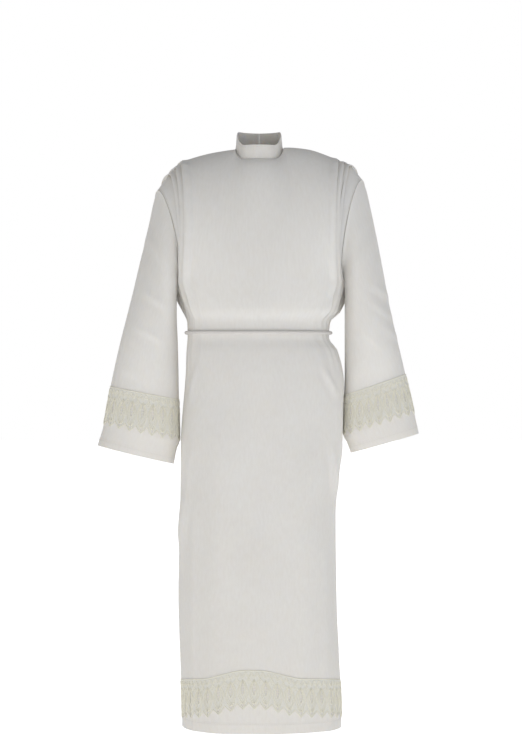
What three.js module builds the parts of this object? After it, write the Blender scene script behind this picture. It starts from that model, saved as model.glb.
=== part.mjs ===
// A worn alb: front and back panels with shoulder pleats, two wide sleeves, a stand collar,
// applied lace at the hem and both cuffs, and a thin cord cincture knotted at the back.
// Millimetres, +Z up. The front faces -Y, and +X is the viewer's right.
// The origin is the middle of the neck opening, at the height of its sides.
import * as THREE from 'three';

// Cloth and seams
const WALL = 1.5;
const COLLAR_WALL = 2;
const LACE_WALL = 1;
const SEAM_GAP = 0.3;

// Neck and collar
const NECK_X = -2;
const NECK_HALF_WIDTH = 56;
const NECK_HALF_DEPTH = 62;
const NECK_FRONT_Z = -9;
const NECK_BACK_Z = 28;
const NECK_RISE_FROM = 40;
const NECK_RISE_TO = 115;
const COLLAR_HEIGHT = 34;
const COLLAR_LEAN = 3;

// Lengths below the origin
const ARMPIT = 300;
const WAIST = 422;
const HEM = 1364;

// Armhole rings: the shoulder tip above and the armpit below, seen from the front.
// Each ring is flat, and its front lies nearer the middle of the body than its back.
const ARMHOLE_DEPTH = 72;
const ARMHOLE_SLANT = 0.3;
const SLANT_FADE = 130;
const ARMHOLES = {
  left: { sign: -1, tipX: 244.8, tipZ: -79.5, pitX: 200 },
  right: { sign: 1, tipX: 244.3, tipZ: -54.5, pitX: 204.5 },
};

// Columns of cloth: each panel has this many across, and each sleeve this many round
const PANEL_COLUMNS = 40;
const SLEEVE_COLUMNS = 36;
const COLUMNS_IN_REPEAT = 2;
const NECK_SHARE = 0.3;
const HEM_HALF_WIDTH = 189;
const HEM_HALF_DEPTH = 148;
const CUFF_HALF_WIDTH = 94;
const CUFF_HALF_DEPTH = 57;
const LENGTH_STEPS = 2000;

// Rows of cloth: steps from the top edge to the armpit, and plain rows below it
const SHOULDER_STEPS = 9;
const PLAIN_DROPS = [345, 372, 396, 434, 465, 545, 690, 860, 1050];
const CHEST_FULLNESS = 12;

// Shoulder line from the neck to the tip: share of the panel's half, distance out and height
const SHOULDER = {
  left: [
    { share: 0.30, out: 58, z: 18 }, { share: 0.45, out: 112, z: 10 },
    { share: 0.60, out: 172, z: -6 }, { share: 0.65, out: 187, z: -12 },
    { share: 0.70, out: 189, z: -14 }, { share: 0.75, out: 203, z: -27 },
    { share: 0.80, out: 205, z: -31 }, { share: 0.85, out: 218, z: -43 },
    { share: 0.90, out: 221, z: -48 }, { share: 1.00, out: 244.8, z: -79.5 },
  ],
  right: [
    { share: 0.30, out: 54, z: 20 }, { share: 0.45, out: 110, z: 18 },
    { share: 0.60, out: 170, z: 0 }, { share: 0.65, out: 185, z: -8 },
    { share: 0.70, out: 187, z: -10 }, { share: 0.75, out: 202, z: -15 },
    { share: 0.80, out: 204, z: -17 }, { share: 0.85, out: 217, z: -22 },
    { share: 0.90, out: 220, z: -26 }, { share: 1.00, out: 244.3, z: -54.5 },
  ],
};

// Body sections: how far the cloth reaches to each side, forward and back at each length
const BODY = [
  { drop: 300, left: 200, right: 204.5, front: 122, back: 112, square: 0.12 },
  { drop: 345, left: 188, right: 193, front: 122, back: 113, square: 0.11 },
  { drop: 372, left: 179, right: 185, front: 120, back: 111, square: 0.10 },
  { drop: 396, left: 173, right: 165, front: 111, back: 102, square: 0.09 },
  { drop: 434, left: 172, right: 164, front: 110, back: 101, square: 0.09 },
  { drop: 465, left: 174, right: 182, front: 117, back: 110, square: 0.09 },
  { drop: 545, left: 180, right: 199, front: 125, back: 122, square: 0.08 },
  { drop: 690, left: 190, right: 197, front: 131, back: 131, square: 0.07 },
  { drop: 860, left: 191, right: 182, front: 135, back: 136, square: 0.06 },
  { drop: 1050, left: 194, right: 184, front: 140, back: 142, square: 0.05 },
  { drop: 1200, left: 191, right: 188, front: 144, back: 146, square: 0.05 },
  { drop: 1364, left: 187, right: 192, front: 148, back: 150, square: 0.05 },
];

// Soft vertical folds: place round the half panel in degrees, spread, height, and where they run
const FOLDS = {
  front: [
    { at: -70, spread: 8, rise: 7, from: 620, to: 1020 },
    { at: 66, spread: 8, rise: 7, from: 520, to: 960 },
    { at: -30, spread: 13, rise: 4, from: 560, to: 1600 },
    { at: 34, spread: 13, rise: 4, from: 640, to: 1600 },
  ],
  back: [
    { at: -62, spread: 9, rise: 9, from: 470, to: 1600 },
    { at: -36, spread: 9, rise: 11, from: 450, to: 1600 },
    { at: -9, spread: 8, rise: 8, from: 480, to: 1600 },
    { at: 14, spread: 8, rise: 10, from: 450, to: 1600 },
    { at: 40, spread: 9, rise: 9, from: 470, to: 1600 },
    { at: 64, spread: 8, rise: 8, from: 500, to: 1600 },
  ],
};
const FOLD_FADE = 140;

// Knife pleats at each shoulder: the share of the half panel where each folded edge lies
const PLEAT_EDGES = [0.65, 0.75, 0.85];
const PLEAT_SHARE = 0.05;
const PLEAT_RISE = 5;
const PLEAT_HOLD = 170;
const PLEAT_END = 430;

// Sleeve rings: outer and inner edge as seen from the front, the depth each way,
// and how far the front lies nearer the body than the back
const SLEEVES = {
  left: [
    { outerX: 244.8, outerZ: -79.5, innerX: 200, innerZ: -300, depth: 72, slant: 0.3 },
    { outerX: 262, outerZ: -151, innerX: 201.5, innerZ: -331, depth: 74, slant: 0.22 },
    { outerX: 284, outerZ: -242, innerX: 200.5, innerZ: -385, depth: 76, slant: 0.14 },
    { outerX: 311, outerZ: -355, innerX: 197.3, innerZ: -445, depth: 74, slant: 0.06 },
    { outerX: 335, outerZ: -453, innerX: 195.3, innerZ: -520, depth: 64, slant: 0 },
    { outerX: 357, outerZ: -550, innerX: 193.8, innerZ: -582, depth: 54, slant: 0 },
    { outerX: 375, outerZ: -643, innerX: 192.6, innerZ: -683, depth: 60, slant: 0 },
    { outerX: 377, outerZ: -652, innerX: 198, innerZ: -697, depth: 59, slant: 0 },
    { outerX: 389.3, outerZ: -692, innerX: 206, innerZ: -736, depth: 57, slant: 0 },
  ],
  right: [
    { outerX: 244.3, outerZ: -54.5, innerX: 204.5, innerZ: -300, depth: 72, slant: 0.3 },
    { outerX: 260.5, outerZ: -129, innerX: 206, innerZ: -330, depth: 74, slant: 0.22 },
    { outerX: 284, outerZ: -238, innerX: 206.8, innerZ: -385, depth: 76, slant: 0.14 },
    { outerX: 308, outerZ: -347, innerX: 206.6, innerZ: -440, depth: 74, slant: 0.06 },
    { outerX: 330.5, outerZ: -443, innerX: 206.4, innerZ: -515, depth: 64, slant: 0 },
    { outerX: 348, outerZ: -521, innerX: 204, innerZ: -571, depth: 52, slant: 0 },
    { outerX: 371, outerZ: -617, innerX: 200.5, innerZ: -669, depth: 60, slant: 0 },
    { outerX: 373, outerZ: -627, innerX: 205.5, innerZ: -679, depth: 60, slant: 0 },
    { outerX: 380.6, outerZ: -663, innerX: 216.7, innerZ: -710, depth: 58, slant: 0 },
  ],
};
const CUFF_LACE_TOP_RING = 5;

// Hem lace: its height, the plain cloth left below it at the centre and at the sides, and the
// crest near the middle: its share of the rise, then its place and where it levels off, in degrees
const HEM_LACE_HEIGHT = 92;
const BELOW_LACE_CENTRE = 58;
const BELOW_LACE_SIDE = 18;
const LACE_CREST_SHARE = 0.47;
const LACE_CREST_AT = -6;
const LACE_CREST_INNER = 4;
const LACE_CREST_OUTER = 37;

// Half a lace repeat, as shares across and down: its edge, scallop and two open gaps
const LACE_HALF_REPEAT = [
  { across: 0, down: 0 },
  { across: 0, down: 0.82 },
  { across: 1, down: 1 },
  { across: 1, down: 0.93 },
  { across: 0.78, down: 0.86 },
  { across: 1, down: 0.79 },
  { across: 1, down: 0.62 },
  { across: 0.72, down: 0.46 },
  { across: 1, down: 0.3 },
  { across: 1, down: 0 },
];

// Cincture: a cord round the waist with a round knot at the centre back
const CORD_RADIUS = 4;
const CORD_CLEARANCE = 0.8;
const CORD_SIDES = 6;
const KNOT_RADIUS = 8.5;
const KNOT_WIDER = 1.15;
const KNOT_TURNS = 10;
const KNOT_RINGS = 8;

// Colours
const CLOTH = { color: 0xe9e7e2, roughness: 0.85, metalness: 0, side: THREE.DoubleSide };
const LACE = { color: 0xe6e2d0, roughness: 0.8, metalness: 0, side: THREE.DoubleSide };
const CORD = { color: 0xf0eff1, roughness: 0.75, metalness: 0 };

const DEEP = new THREE.Vector3(0, 1, 0);
const UP = new THREE.Vector3(0, 0, 1);
const QUARTER = Math.PI / 2;
const ROUNDING = 1e-9;
const { clamp, lerp, smoothstep, degToRad, radToDeg } = THREE.MathUtils;

// Reads one column of a table at a place between its rows, smoothly and without overshoot
function readTable(table, key, name, at) {
  const steepness = row => {
    if (row === 0 || row === table.length - 1) return 0;
    const before = (table[row][name] - table[row - 1][name]) / (table[row][key] - table[row - 1][key]);
    const after = (table[row + 1][name] - table[row][name]) / (table[row + 1][key] - table[row][key]);
    return before * after > 0 ? (2 * before * after) / (before + after) : 0;
  };
  let row = 0;
  while (row < table.length - 2 && at > table[row + 1][key]) row += 1;
  const span = table[row + 1][key] - table[row][key];
  const t = clamp((at - table[row][key]) / span, 0, 1);
  const ease = t * t * (3 - 2 * t);
  return lerp(table[row][name], table[row + 1][name], ease)
    + span * t * (1 - t) * ((1 - t) * steepness(row) - t * steepness(row + 1));
}

// Angles round a quarter of an ellipse that divide its edge into equal lengths
function evenAngles(halfWidth, halfDepth, count) {
  const lengths = [0];
  for (let i = 1; i <= LENGTH_STEPS; i += 1) {
    const angle = ((i - 0.5) / LENGTH_STEPS) * QUARTER;
    const speed = Math.hypot(halfWidth * Math.cos(angle), halfDepth * Math.sin(angle));
    lengths.push(lengths[i - 1] + speed);
  }
  const angles = [];
  for (let k = 0; k <= count; k += 1) {
    const target = (k / count) * lengths[LENGTH_STEPS];
    const i = lengths.findIndex(length => length >= target - ROUNDING);
    angles.push((i / LENGTH_STEPS) * QUARTER);
  }
  return angles;
}

const PANEL_TURNS = evenAngles(HEM_HALF_WIDTH, HEM_HALF_DEPTH, PANEL_COLUMNS / 2);

// Angle of a panel column from its centre line, negative to the left
function panelTurn(column) {
  const fromCentre = column - PANEL_COLUMNS / 2;
  return Math.sign(fromCentre) * PANEL_TURNS[Math.abs(fromCentre)];
}

// Share of the half panel at a column: 0 on the centre line and 1 at the side
function panelShare(column) {
  return Math.abs(column - PANEL_COLUMNS / 2) / (PANEL_COLUMNS / 2);
}

const sideOf = column => (column < PANEL_COLUMNS / 2 ? 'left' : 'right');
const faceSign = face => (face === 'front' ? -1 : 1);

// Height of the collar seam at an angle round the neck from its front
function neckHeight(degrees) {
  return lerp(NECK_FRONT_Z, NECK_BACK_Z, smoothstep(Math.abs(degrees), NECK_RISE_FROM, NECK_RISE_TO));
}

function neckPoint(degrees) {
  const turn = degToRad(degrees);
  return new THREE.Vector3(
    NECK_X + NECK_HALF_WIDTH * Math.sin(turn),
    -NECK_HALF_DEPTH * Math.cos(turn),
    neckHeight(degrees),
  );
}

// Top edge of a panel: the neckline in the middle and the shoulder line on each side
function topPoint(face, column) {
  const share = panelShare(column);
  const side = sideOf(column);
  if (share <= NECK_SHARE + ROUNDING) {
    const degrees = ARMHOLES[side].sign * 90 * (share / NECK_SHARE);
    return neckPoint(face === 'front' ? degrees : ARMHOLES[side].sign * 180 - degrees);
  }
  const out = readTable(SHOULDER[side], 'share', 'out', share);
  return new THREE.Vector3(ARMHOLES[side].sign * out, 0, readTable(SHOULDER[side], 'share', 'z', share));
}

// Outward direction of a level section
function sectionNormal(face, turn, drop) {
  const half = readTable(BODY, 'drop', turn < 0 ? 'left' : 'right', drop);
  const depth = readTable(BODY, 'drop', face, drop);
  return new THREE.Vector3(Math.sin(turn) / half, (faceSign(face) * Math.cos(turn)) / depth, 0).normalize();
}

// Height of all the soft folds at a place on a panel
function foldRise(face, turn, drop) {
  const degrees = THREE.MathUtils.radToDeg(turn);
  return FOLDS[face].reduce((sum, fold) => {
    const starts = smoothstep(drop, fold.from, fold.from + FOLD_FADE);
    const ends = 1 - smoothstep(drop, fold.to - FOLD_FADE, fold.to);
    const across = (degrees - fold.at) / fold.spread;
    return sum + fold.rise * starts * ends * Math.exp(-across * across);
  }, 0);
}

// Height of the knife pleats: rising to each folded edge and dropping just past it
function pleatRise(share, drop) {
  const hold = 1 - smoothstep(drop, PLEAT_HOLD, PLEAT_END);
  const nearest = Math.min(...PLEAT_EDGES.map(edge => Math.abs(share - edge)));
  return PLEAT_RISE * hold * Math.max(0, 1 - nearest / PLEAT_SHARE);
}

function sectionPoint(face, column, drop) {
  const turn = panelTurn(column);
  const half = readTable(BODY, 'drop', turn < 0 ? 'left' : 'right', drop);
  const depth = readTable(BODY, 'drop', face, drop);
  const boxed = 1 + readTable(BODY, 'drop', 'square', drop) * Math.sin(2 * turn) ** 2;
  const point = new THREE.Vector3(
    half * Math.sin(turn) * boxed,
    faceSign(face) * depth * Math.cos(turn) * boxed,
    -drop,
  );
  const slant = ARMHOLE_SLANT * (1 - smoothstep(drop, ARMPIT, ARMPIT + SLANT_FADE));
  point.x += Math.sign(turn) * slant * point.y * Math.sin(turn) ** 4;
  const rise = foldRise(face, turn, drop) + pleatRise(panelShare(column), drop);
  return point.addScaledVector(sectionNormal(face, turn, drop), rise);
}

// A point of an armhole ring, from the shoulder tip (0) to the armpit (1)
function armholePoint(face, side, share) {
  const { sign, tipX, tipZ, pitX } = ARMHOLES[side];
  const swing = Math.cos(Math.PI * share);
  const deep = faceSign(face) * ARMHOLE_DEPTH * Math.sin(Math.PI * share);
  return new THREE.Vector3(
    sign * ((tipX + pitX) / 2 + ((tipX - pitX) / 2) * swing + ARMHOLE_SLANT * deep),
    deep,
    (tipZ - ARMPIT) / 2 + ((tipZ + ARMPIT) / 2) * swing,
  );
}

// Straight blend from the top edge to the armpit section, without the armhole's pull
function shoulderBlend(face, column, share) {
  const top = topPoint(face, column);
  const foot = sectionPoint(face, column, ARMPIT);
  return new THREE.Vector3(
    lerp(top.x, foot.x, share),
    lerp(top.y, foot.y, Math.sin(share * QUARTER)),
    lerp(top.z, foot.z, 1 - Math.cos(share * QUARTER)),
  );
}

// A point between the top edge (0) and the armpit section (1)
function shoulderPoint(face, column, share) {
  const turn = panelTurn(column);
  const point = shoulderBlend(face, column, share);
  const edgeColumn = turn < 0 ? 0 : PANEL_COLUMNS;
  const pull = armholePoint(face, sideOf(column), share).sub(shoulderBlend(face, edgeColumn, share));
  point.addScaledVector(pull, Math.sin(turn) ** 4);
  const fullness = CHEST_FULLNESS * Math.sin(Math.PI * share) * Math.sin(2 * turn) ** 2;
  point.y += faceSign(face) * fullness;
  const outward = sectionNormal(face, turn, ARMPIT).multiplyScalar(Math.sin(share * QUARTER));
  outward.addScaledVector(UP, Math.cos(share * QUARTER));
  const rise = pleatRise(panelShare(column), -point.z) - share * pleatRise(panelShare(column), ARMPIT);
  return point.addScaledVector(outward, rise);
}

// Drop of the lace's foot below the origin at a column, and of the lace's top edge
function laceFootDrop(column) {
  const turn = panelTurn(column);
  const off = Math.abs(radToDeg(turn) - LACE_CREST_AT);
  const crest = 1 - smoothstep(off, LACE_CREST_INNER, LACE_CREST_OUTER);
  const middle = lerp(Math.cos(turn), crest, LACE_CREST_SHARE);
  return HEM - lerp(BELOW_LACE_SIDE, BELOW_LACE_CENTRE, middle);
}

// Rows of a panel from the top edge to the hem, each a function of face and column
function panelRows() {
  const rows = [];
  for (let i = 0; i <= SHOULDER_STEPS; i += 1) {
    rows.push((face, column) => shoulderPoint(face, column, i / SHOULDER_STEPS));
  }
  PLAIN_DROPS.forEach(drop => rows.push((face, column) => sectionPoint(face, column, drop)));
  rows.push((face, column) => sectionPoint(face, column, laceFootDrop(column) - HEM_LACE_HEIGHT));
  rows.push((face, column) => sectionPoint(face, column, laceFootDrop(column)));
  rows.push((face, column) => sectionPoint(face, column, HEM));
  return rows;
}

const LACE_TOP_ROW = SHOULDER_STEPS + PLAIN_DROPS.length + 1;

// Keeps a panel's edge half a seam gap on its own side of the side and shoulder seams
function keepOnSide(face, point) {
  point.y = faceSign(face) * Math.max(SEAM_GAP / 2, Math.abs(point.y));
  return point;
}

// Normals of a grid of points, from the neighbours of each point
function gridNormals(grid, closed, sign) {
  const rowCount = grid.length;
  const columnCount = grid[0].length;
  const near = (list, i, count) => list[closed ? (i + count) % count : clamp(i, 0, count - 1)];
  return grid.map((row, i) => row.map((_, j) => {
    const along = near(row, j + 1, columnCount).clone().sub(near(row, j - 1, columnCount));
    const below = grid[Math.min(i + 1, rowCount - 1)][j];
    const down = below.clone().sub(grid[Math.max(i - 1, 0)][j]);
    return along.cross(down).normalize().multiplyScalar(sign);
  }));
}

// Turns a direction into the plane of the seam that it lies on, or into both where two meet
function intoPlanes(direction, planes) {
  if (planes.length < 2) {
    const flat = direction.clone();
    planes.forEach(plane => flat.addScaledVector(plane, -flat.dot(plane)));
    return flat.normalize();
  }
  const shared = planes[0].clone().cross(planes[1]).normalize();
  return shared.multiplyScalar(Math.sign(shared.dot(direction)));
}

function shifted(grid, directions, distance) {
  return grid.map((row, i) => row.map((point, j) => (
    point.clone().addScaledVector(directions[i][j], distance))));
}

// A closed body from triangles of points, with its faces turned outward
function bodyFrom(triangles) {
  const volume = triangles.reduce((sum, [a, b, c]) => sum + a.dot(b.clone().cross(c)), 0);
  const ordered = volume > 0 ? triangles : triangles.map(([a, b, c]) => [a, c, b]);
  const geometry = new THREE.BufferGeometry();
  geometry.setFromPoints(ordered.flat());
  geometry.computeVertexNormals();
  return geometry;
}

function quad(a, b, c, d) {
  return [[a, b, c], [a, c, d]];
}

// A wall of cloth between an outer and an inner grid, closed all round its edges
function clothWall(outer, inner, closed) {
  const rowCount = outer.length;
  const columnCount = outer[0].length;
  const lastColumn = closed ? columnCount : columnCount - 1;
  const triangles = [];
  for (let j = 0; j < lastColumn; j += 1) {
    const k = (j + 1) % columnCount;
    for (let i = 0; i < rowCount - 1; i += 1) {
      triangles.push(...quad(outer[i][j], outer[i + 1][j], outer[i + 1][k], outer[i][k]));
      triangles.push(...quad(inner[i][j], inner[i][k], inner[i + 1][k], inner[i + 1][j]));
    }
    const end = rowCount - 1;
    triangles.push(...quad(outer[0][j], outer[0][k], inner[0][k], inner[0][j]));
    triangles.push(...quad(outer[end][k], outer[end][j], inner[end][j], inner[end][k]));
  }
  if (!closed) {
    const end = columnCount - 1;
    for (let i = 0; i < rowCount - 1; i += 1) {
      triangles.push(...quad(outer[i + 1][0], outer[i][0], inner[i][0], inner[i + 1][0]));
      triangles.push(...quad(outer[i][end], outer[i + 1][end], inner[i + 1][end], inner[i][end]));
    }
  }
  return bodyFrom(triangles);
}

// Direction square to an armhole ring, pointing away from the body
function armholeNormal(side) {
  const { sign, tipX, tipZ, pitX } = ARMHOLES[side];
  const down = new THREE.Vector3(sign * (pitX - tipX), 0, -ARMPIT - tipZ);
  const deep = new THREE.Vector3(sign * ARMHOLE_SLANT, 1, 0);
  return down.cross(deep).multiplyScalar(sign).normalize();
}

// Seam planes that a panel's point lies on
function panelPlanes(row, column) {
  const planes = [];
  const share = panelShare(column);
  const atSide = column === 0 || column === PANEL_COLUMNS;
  const onShoulder = row === 0 && share >= NECK_SHARE - ROUNDING;
  if (onShoulder || (atSide && row >= SHOULDER_STEPS)) planes.push(DEEP);
  if (row === LACE_TOP_ROW + 2) planes.push(UP);
  if (atSide && row <= SHOULDER_STEPS) planes.push(armholeNormal(sideOf(column)));
  return planes;
}

function makePanel(face) {
  const columns = Array.from({ length: PANEL_COLUMNS + 1 }, (_, j) => j);
  const outer = panelRows().map(row => columns.map(j => keepOnSide(face, row(face, j))));
  const normals = gridNormals(outer, false, faceSign(face));
  const inward = normals.map((row, i) => row.map((n, j) => intoPlanes(n, panelPlanes(i, j))));
  return { outer, normals, geometry: clothWall(outer, shifted(outer, inward, -WALL), false) };
}

// Angles round a sleeve ring from its outer edge by way of the front, evenly spaced at the cuff
function sleeveAngles() {
  const quarter = evenAngles(CUFF_HALF_DEPTH, CUFF_HALF_WIDTH, SLEEVE_COLUMNS / 4);
  const half = [...quarter, ...quarter.slice(0, -1).reverse().map(angle => Math.PI - angle)];
  return [...half, ...half.slice(1, -1).map(angle => angle + Math.PI)];
}

const SLEEVE_TURNS = sleeveAngles();

// Direction square to the cuff ring, pointing up the sleeve
function cuffNormal(side) {
  const cuff = SLEEVES[side].at(-1);
  const across = cuff.outerX - cuff.innerX;
  return new THREE.Vector3(ARMHOLES[side].sign * (cuff.innerZ - cuff.outerZ), 0, across).normalize();
}

function sleeveRing(side, ring) {
  const { sign } = ARMHOLES[side];
  return SLEEVE_TURNS.map(turn => {
    const swing = Math.cos(turn);
    const deep = -ring.depth * Math.sin(turn);
    return new THREE.Vector3(
      sign * (lerp(ring.innerX, ring.outerX, (1 + swing) / 2) + ring.slant * deep),
      deep,
      lerp(ring.innerZ, ring.outerZ, (1 + swing) / 2),
    );
  });
}

function makeSleeve(side) {
  const rings = SLEEVES[side];
  const outer = rings.map(ring => sleeveRing(side, ring));
  outer[0].forEach(point => point.addScaledVector(armholeNormal(side), SEAM_GAP));
  const normals = gridNormals(outer, true, ARMHOLES[side].sign);
  const inward = normals.map((row, i) => {
    const planes = [];
    if (i === 0) planes.push(armholeNormal(side));
    if (i === rings.length - 1) planes.push(cuffNormal(side));
    return row.map(n => intoPlanes(n, planes));
  });
  return { outer, normals, geometry: clothWall(outer, shifted(outer, inward, -WALL), true) };
}

// Collar: a band on the neckline, its ends meeting at the centre back
function makeCollar() {
  const step = 90 / (NECK_SHARE * (PANEL_COLUMNS / 2));
  const count = Math.round(360 / step);
  const rows = [{ lift: SEAM_GAP, lean: 0 }, { lift: COLLAR_HEIGHT, lean: COLLAR_LEAN }];
  const ring = (lift, inset) => Array.from({ length: count + 1 }, (_, k) => {
    const degrees = -180 + k * step;
    const point = neckPoint(degrees);
    const inward = new THREE.Vector3(NECK_X - point.x, -point.y, 0).normalize();
    point.addScaledVector(inward, inset).addScaledVector(UP, lift);
    if (k === 0) point.x -= SEAM_GAP / 2;
    if (k === count) point.x += SEAM_GAP / 2;
    return point;
  });
  const outer = rows.map(({ lift, lean }) => ring(lift, lean));
  const inner = rows.map(({ lift, lean }) => ring(lift, lean + COLLAR_WALL));
  return clothWall(outer, inner, false);
}

// A place on one strip of a cloth grid, between two of its columns, moved out from the cloth
function onStrip(cloth, top, column, across, down, lift) {
  const columnCount = cloth.outer[0].length;
  const blend = grid => {
    const left = grid[top][column].clone().lerp(grid[top + 1][column], down);
    const next = (column + 1) % columnCount;
    const right = grid[top][next].clone().lerp(grid[top + 1][next], down);
    return left.lerp(right, across);
  };
  return blend(cloth.outer).addScaledVector(blend(cloth.normals).normalize(), lift);
}

// Triangles that fill half a lace repeat, each turning the same way as its outline
function laceFaces() {
  const outline = LACE_HALF_REPEAT.map(({ across, down }) => new THREE.Vector2(across, down));
  const turnsLike = THREE.ShapeUtils.area(outline);
  return THREE.ShapeUtils.triangulateShape(outline, []).map(face => {
    const turns = THREE.ShapeUtils.area(face.map(corner => outline[corner]));
    return turns * turnsLike > 0 ? face : [...face].reverse();
  });
}

// Lace on one strip of a cloth grid, from one column to another, with its gaps cut through
function makeLace(cloth, top, firstColumn, lastColumn) {
  const faces = laceFaces();
  const triangles = [];
  for (let column = firstColumn; column < lastColumn; column += 1) {
    const mirrored = (column - firstColumn) % COLUMNS_IN_REPEAT === 1;
    const place = (corner, lift) => {
      const { across, down } = LACE_HALF_REPEAT[corner];
      return onStrip(cloth, top, column, mirrored ? 1 - across : across, down, lift);
    };
    const add = (a, b, c) => triangles.push(mirrored ? [a, c, b] : [a, b, c]);
    const under = LACE_HALF_REPEAT.map((_, corner) => place(corner, SEAM_GAP));
    const over = LACE_HALF_REPEAT.map((_, corner) => place(corner, SEAM_GAP + LACE_WALL));
    faces.forEach(([a, b, c]) => {
      add(over[a], over[b], over[c]);
      add(under[c], under[b], under[a]);
    });
    LACE_HALF_REPEAT.forEach((corner, a) => {
      const b = (a + 1) % LACE_HALF_REPEAT.length;
      if (joinsNextHalf(a, b, column, firstColumn, lastColumn)) return;
      add(over[b], over[a], under[a]);
      add(over[b], under[a], under[b]);
    });
  }
  return bodyFrom(triangles);
}

// Whether an edge of a half repeat is shared with the half beside it, so it needs no wall
function joinsNextHalf(a, b, column, firstColumn, lastColumn) {
  const [from, to] = [LACE_HALF_REPEAT[a], LACE_HALF_REPEAT[b]];
  if (from.across !== to.across) return false;
  if (from.across === 1) return true;
  const atStart = column === firstColumn;
  const atEnd = column === lastColumn - 1;
  return !atStart && !atEnd;
}

// Cincture: the cord's middle line follows the waist, clear of the cloth
function cordLine() {
  const place = (face, column) => {
    const point = sectionPoint(face, column, WAIST);
    const outward = sectionNormal(face, panelTurn(column), WAIST);
    return point.addScaledVector(outward, CORD_RADIUS + CORD_CLEARANCE);
  };
  const points = [];
  const middle = PANEL_COLUMNS / 2;
  for (let j = middle - 1; j > 0; j -= 1) points.push(place('back', j));
  for (let j = 0; j < PANEL_COLUMNS; j += 1) points.push(place('front', j));
  for (let j = PANEL_COLUMNS; j > middle; j -= 1) points.push(place('back', j));
  return points;
}

// Middle of the knot, against the back panel
function knotCentre() {
  const point = sectionPoint('back', PANEL_COLUMNS / 2, WAIST);
  return point.addScaledVector(DEEP, KNOT_RADIUS + SEAM_GAP);
}

// The cord ends just clear of the knot on both sides
function cordRoute() {
  const line = cordLine();
  const reach = KNOT_RADIUS * KNOT_WIDER + SEAM_GAP;
  const depth = sectionPoint('back', PANEL_COLUMNS / 2, WAIST).y + CORD_RADIUS + CORD_CLEARANCE;
  const end = sign => new THREE.Vector3(sign * reach, depth, -WAIST);
  return [end(-1), ...line, end(1)];
}

function makeCincture() {
  const route = cordRoute();
  const rings = route.map((point, i) => {
    const before = route[Math.max(i - 1, 0)];
    const after = route[Math.min(i + 1, route.length - 1)];
    const out = after.clone().sub(before).cross(UP).normalize();
    return Array.from({ length: CORD_SIDES }, (_, k) => {
      const turn = (k / CORD_SIDES) * 2 * Math.PI;
      return point.clone()
        .addScaledVector(out, CORD_RADIUS * Math.cos(turn))
        .addScaledVector(UP, CORD_RADIUS * Math.sin(turn));
    });
  });
  return tubeBody(rings);
}

// A closed body from rings of points, with a flat cap at each end
function tubeBody(rings) {
  const triangles = [];
  const count = rings[0].length;
  for (let i = 0; i < rings.length - 1; i += 1) {
    for (let k = 0; k < count; k += 1) {
      const next = (k + 1) % count;
      triangles.push(...quad(rings[i][k], rings[i + 1][k], rings[i + 1][next], rings[i][next]));
    }
  }
  const [first, last] = [rings[0], rings[rings.length - 1]];
  for (let k = 1; k < count - 1; k += 1) {
    triangles.push([first[0], first[k], first[k + 1]]);
    triangles.push([last[0], last[k + 1], last[k]]);
  }
  return bodyFrom(triangles);
}

function makeKnot() {
  const geometry = new THREE.SphereGeometry(KNOT_RADIUS, KNOT_TURNS, KNOT_RINGS);
  geometry.scale(KNOT_WIDER, 1, 1);
  return geometry;
}

function named(name, geometry, look) {
  const mesh = new THREE.Mesh(geometry, new THREE.MeshStandardMaterial(look));
  mesh.name = name;
  return mesh;
}

// The whole garment
const garment = new THREE.Group();
const panels = { front: makePanel('front'), back: makePanel('back') };
const sleeves = { left: makeSleeve('left'), right: makeSleeve('right') };

for (const face of ['front', 'back']) {
  const lace = makeLace(panels[face], LACE_TOP_ROW, 0, PANEL_COLUMNS);
  garment.add(named(face, panels[face].geometry, CLOTH));
  garment.add(named(`lace_hem_${face}`, lace, LACE));
}
for (const side of ['left', 'right']) {
  garment.add(named(`sleeve_${side}`, sleeves[side].geometry, CLOTH));
  const half = SLEEVE_COLUMNS / 2;
  for (const [face, first] of [['front', 0], ['back', half]]) {
    const lace = makeLace(sleeves[side], CUFF_LACE_TOP_RING, first, first + half);
    garment.add(named(`lace_cuff_${side}_${face}`, lace, LACE));
  }
}
garment.add(named('collar', makeCollar(), CLOTH));
garment.add(named('cincture', makeCincture(), CORD));
const knot = named('cincture_knot', makeKnot(), CORD);
knot.position.copy(knotCentre());
garment.add(knot);

export default garment;
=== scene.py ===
"""A worn alb of white poplin: pleated front and back, wide sleeves, stand collar, lace bands and cord belt.

Lengths are in millimetres up to mesh_object(), which turns them to metres. The front faces -Y, +Z is
up and +X is the viewer's right. The origin is the middle of the neck opening.
"""

import math
from collections import namedtuple
from functools import partial

import bmesh
import bpy
import numpy as np
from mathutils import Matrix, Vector, geometry


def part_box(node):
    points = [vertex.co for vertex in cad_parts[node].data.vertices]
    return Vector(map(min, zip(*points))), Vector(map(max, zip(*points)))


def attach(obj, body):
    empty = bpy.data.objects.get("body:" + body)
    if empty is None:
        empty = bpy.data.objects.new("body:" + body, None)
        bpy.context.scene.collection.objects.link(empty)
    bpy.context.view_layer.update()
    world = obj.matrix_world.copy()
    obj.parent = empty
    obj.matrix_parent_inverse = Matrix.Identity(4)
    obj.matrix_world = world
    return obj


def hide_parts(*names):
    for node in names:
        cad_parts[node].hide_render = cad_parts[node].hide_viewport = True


bl_info = {
    "name": "Lace-trimmed alb",
    "version": (1, 0, 0),
    "blender": (4, 5, 0),
    "location": "3D View > Sidebar > Alb",
    "description": "Builds the cloth, lace, cord belt and stage of a worn alb",
    "category": "Object",
}

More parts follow.
